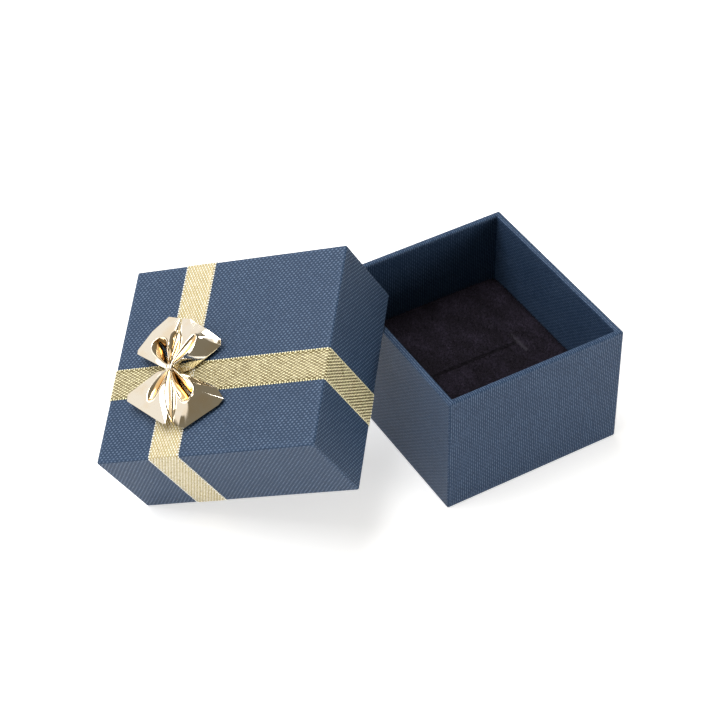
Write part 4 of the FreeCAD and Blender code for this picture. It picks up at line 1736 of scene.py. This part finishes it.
    def build_glue(self, finish: Material) -> None:
        """Build the dab of glue between the ribbons and the bow.

        Args:
            finish: The glue's material.
        """
        low, high = self.space.extent("bow_glue_dot")
        foot, tall = low.z - self.space.tall, high.z - low.z
        draft, rings = Draft(), []
        for share, level in self.glue_rings:
            ring = []
            for k in range(self.glue_sides):
                angle = 2 * math.pi * k / self.glue_sides
                uneven = 1 + 0.06 * math.sin(3 * angle + 0.7) + 0.03 * math.sin(5 * angle)
                x, y = (self.glue * share * uneven * turned for turned in (math.cos(angle), math.sin(angle)))
                ring.append(draft.add_point((x, y, foot + tall * level)))
            rings.append(ring)
        draft.add_grid(rings, close=True)
        draft.add_face(tuple(reversed(rings[0])))
        draft.add_face(tuple(rings[-1]))
        piece = draft.build("bow_glue_dab", self.matrix, finish, 60.0)
        hand_over(piece, Body.LID, "glue", "bow_glue_dot")

    def build_band(self, finish: Material) -> None:
        """Build the narrow band that pinches the strips together.

        Args:
            finish: The foil's material.
        """
        draft = Draft()
        line = curve_through(list(self.band_line), np.linspace(0, 1, 37))
        rows = []
        for index, centre in enumerate(line):
            ahead = line[min(index + 1, len(line) - 1)] - line[max(index - 1, 0)]
            normal = unit(np.array([-ahead[2], 0.0, ahead[0]]))
            pinch = 0.75 + 0.25 * abs(centre[0])
            ring = []
            for across, out in self.band_section:
                x, z = centre[0] + normal[0] * out, centre[2] + normal[2] * out
                # A faint share of the foil's painted warm reflection.
                ring.append(draft.add_point((across * pinch, x, z), 0.15))
            rows.append(ring)
        draft.add_grid(rows, close=True)
        draft.add_face(tuple(reversed(rows[0])))
        draft.add_face(tuple(rows[-1]))
        piece = draft.build("bow_pinch_band", self.matrix, finish, 60.0)
        mend_normals(piece)
        hand_over(piece, Body.LID, "gold_foil", "bow_tie_band")


def mend_normals(piece: Piece) -> None:
    """Turn every closed shell of a piece outwards.

    Args:
        piece: The object.
    """
    work = bmesh.new()
    work.from_mesh(piece.data)
    bmesh.ops.recalc_face_normals(work, faces=work.faces)
    work.to_mesh(piece.data)
    work.free()


# ---------------------------------------------------------------- studio


@dataclass(frozen=True)
class Lamp:
    """One soft rectangular light, with its place, size and aim in metres and its power in watts."""

    name: str
    place: Point
    size: Pair
    power: float
    aim: Point = (-0.03, 0.0, 0.02)

    def hang(self) -> None:
        """Put the light into the scene."""
        data = bpy.data.lights.new(self.name, "AREA")
        data.shape, data.energy = "RECTANGLE", self.power
        data.size, data.size_y = self.size
        light = bpy.data.objects.new(self.name, data)
        light.location = self.place
        light.rotation_euler = (Vector(self.aim) - Vector(self.place)).to_track_quat("-Z", "Y").to_euler()
        bpy.context.scene.collection.objects.link(light)


@dataclass
class Studio:
    """Pale floor, soft lights and the camera, with the floor's half width in metres.

    The room is bright on one side and dim on the other, and bright_range says where it changes.
    """

    eye: Point = (-200.972, -300.568, 342.887)
    view: Point = (0.36610572, 0.64296687, -0.67272595)
    roll: float = -1.0785
    lens: float = 107.236
    sensor: float = 36.0
    floor_half: float = 3.0
    floor_glow: float = 0.58
    floor_tones: tuple[Colour, Colour] = ((0.80, 0.80, 0.80), (0.82, 0.82, 0.82))
    bright_side: Point = (-0.82, 0.57, 0.0)
    bright_range: Pair = (0.20, 0.40)
    dim: Colour = (0.200, 0.180, 0.140)
    bright: Colour = (0.92, 0.90, 0.88)
    lamps: tuple[Lamp, ...] = (
        Lamp("top_light", (-0.20, 0.22, 0.66), (0.7, 0.55), 6.4),
        Lamp("front_fill", (0.45, -0.80, 0.15), (0.6, 0.25), 3.4),
    )

    def build(self) -> None:
        """Build everything that isn't the box."""
        self.build_floor()
        self.build_lights()
        self.build_camera()

    def build_floor(self) -> None:
        """Build the floor."""
        surface = Surface("floor_card", Roughness=0.9, Specular_IOR_Level=0.1, Emission_Color=(1.0, 1.0, 1.0),
                          Emission_Strength=self.floor_glow)
        w = surface.wiring
        grain = w.noise(surface.place(), 300.0, 2.0)
        surface.set("Base_Color", w.blend(grain, *self.floor_tones))
        half = self.floor_half
        mesh = bpy.data.meshes.new("floor")
        mesh.from_pydata([(x * half, y * half, 0) for x, y in ((-1, -1), (1, -1), (1, 1), (-1, 1))], [],
                         [(0, 1, 2, 3)])
        mesh.materials.append(surface.material)
        floor = bpy.data.objects.new("floor", mesh)
        bpy.context.scene.collection.objects.link(floor)

    def build_lights(self) -> None:
        """Light the box from above, from the bright side of the room and from a low fill in front."""
        world = bpy.data.worlds.new("studio")
        world.use_nodes = True
        shade = world.node_tree.nodes["Background"]
        w = Wiring(world.node_tree)
        direction = w.add("ShaderNodeTexCoord").outputs["Generated"]
        facing = w.vector("DOT_PRODUCT", direction, Vector(self.bright_side).normalized())
        w.feed(shade.inputs[0], w.blend(w.ramp(facing, *self.bright_range), self.dim, self.bright))
        bpy.context.scene.world = world
        for lamp in self.lamps:
            lamp.hang()
        settings = bpy.context.scene.view_settings
        settings.view_transform, settings.look = "Standard", "None"
        settings.exposure, settings.gamma = 0.0, 1.0

    def build_camera(self) -> None:
        """Set up the camera, turned a little about its own line of sight."""
        forward = Vector(self.view).normalized()
        right = forward.cross(Vector((0, 0, 1))).normalized()
        up = right.cross(forward)
        tilt = math.radians(self.roll)
        side = right * math.cos(tilt) + up * math.sin(tilt)
        upright = side.cross(forward)
        data = bpy.data.cameras.new("camera")
        data.lens, data.sensor_width, data.sensor_fit = self.lens, self.sensor, "HORIZONTAL"
        data.clip_start, data.clip_end = 0.01, 20.0
        camera = bpy.data.objects.new("camera", data)
        camera.matrix_world = Matrix.Translation(Vector(self.eye) * MM) @ Matrix(
            (side, upright, -forward)).transposed().to_4x4()
        bpy.context.scene.collection.objects.link(camera)
        bpy.context.scene.camera = camera


def main() -> None:
    """Build the box, piece by piece, and the studio round it."""
    logging.basicConfig(level=logging.INFO, format="%(name)s: %(message)s")
    board = FibrePaper("grey_board", (0.30, 0.28, 0.25), (0.42, 0.40, 0.36), 0.8).material()
    stays = FibrePaper("stay_paper", (0.62, 0.58, 0.50), (0.72, 0.69, 0.62), 0.7).material()
    lining = FibrePaper("lining_paper", (0.012, 0.022, 0.050), (0.020, 0.034, 0.072), 0.6).material()
    bottom = FibrePaper("bottom_paper", (0.016, 0.030, 0.068), (0.026, 0.044, 0.092), 0.6).material()

    base = Base()
    # The base's paper is a darker copy of the lid's navy paper: painted shade for the base's faces, which get
    # less light. Its thread lines and turned pattern are its own.
    base.build_cover(EmbossedPaper("navy_paper_base_shaded_copy", thread=0.68, turned=True, ground=(0.008, 0.026, 0.064),
                                   painted_crest_highlight=(0.068, 0.112, 0.192)).material())
    base.build_board(board)
    base.dress_hidden(stays, lining, bottom)

    pad = Pad()
    pad.build_velvet(Velvet().material())
    pad.build_foam(Foam().material())
    pad.dress_hidden(board)

    space = LidSpace()
    lid = Lid(space)
    lid.build_cover(EmbossedPaper("navy_paper_lid", slant=-1).material())
    lid.build_board(board)
    lid.dress_hidden(stays, lining)

    # Both ribbons are the same gold thread. The cross ribbon's material is a lighter painted-light copy and
    # the long ribbon's is a darker painted-shade copy, for how each faces the light.
    gold = MetalThread("gold_thread", (1.0, 0.93, 0.60), (0.110, 0.074, 0.008), 0.20).material()
    lit_copy_thread = MetalThread("gold_thread_lit_copy", (1.0, 0.99, 0.90), (0.42, 0.33, 0.13), 0.10).material()
    long_ribbon = Ribbon(space, "ribbon_long", "ribbon_long_weave", "gold_ribbon", True)
    long_ribbon.build(gold)
    Ribbon(space, "ribbon_cross", "ribbon_cross_weave", "pale_gold_ribbon", False,
           hump_at=long_ribbon.middle).build(lit_copy_thread)
    bow = Bow(space)
    bow.build(Foil().material())
    bow.build_glue(Glue().material())

    Studio().build()


if __name__ == "__main__":
    main()
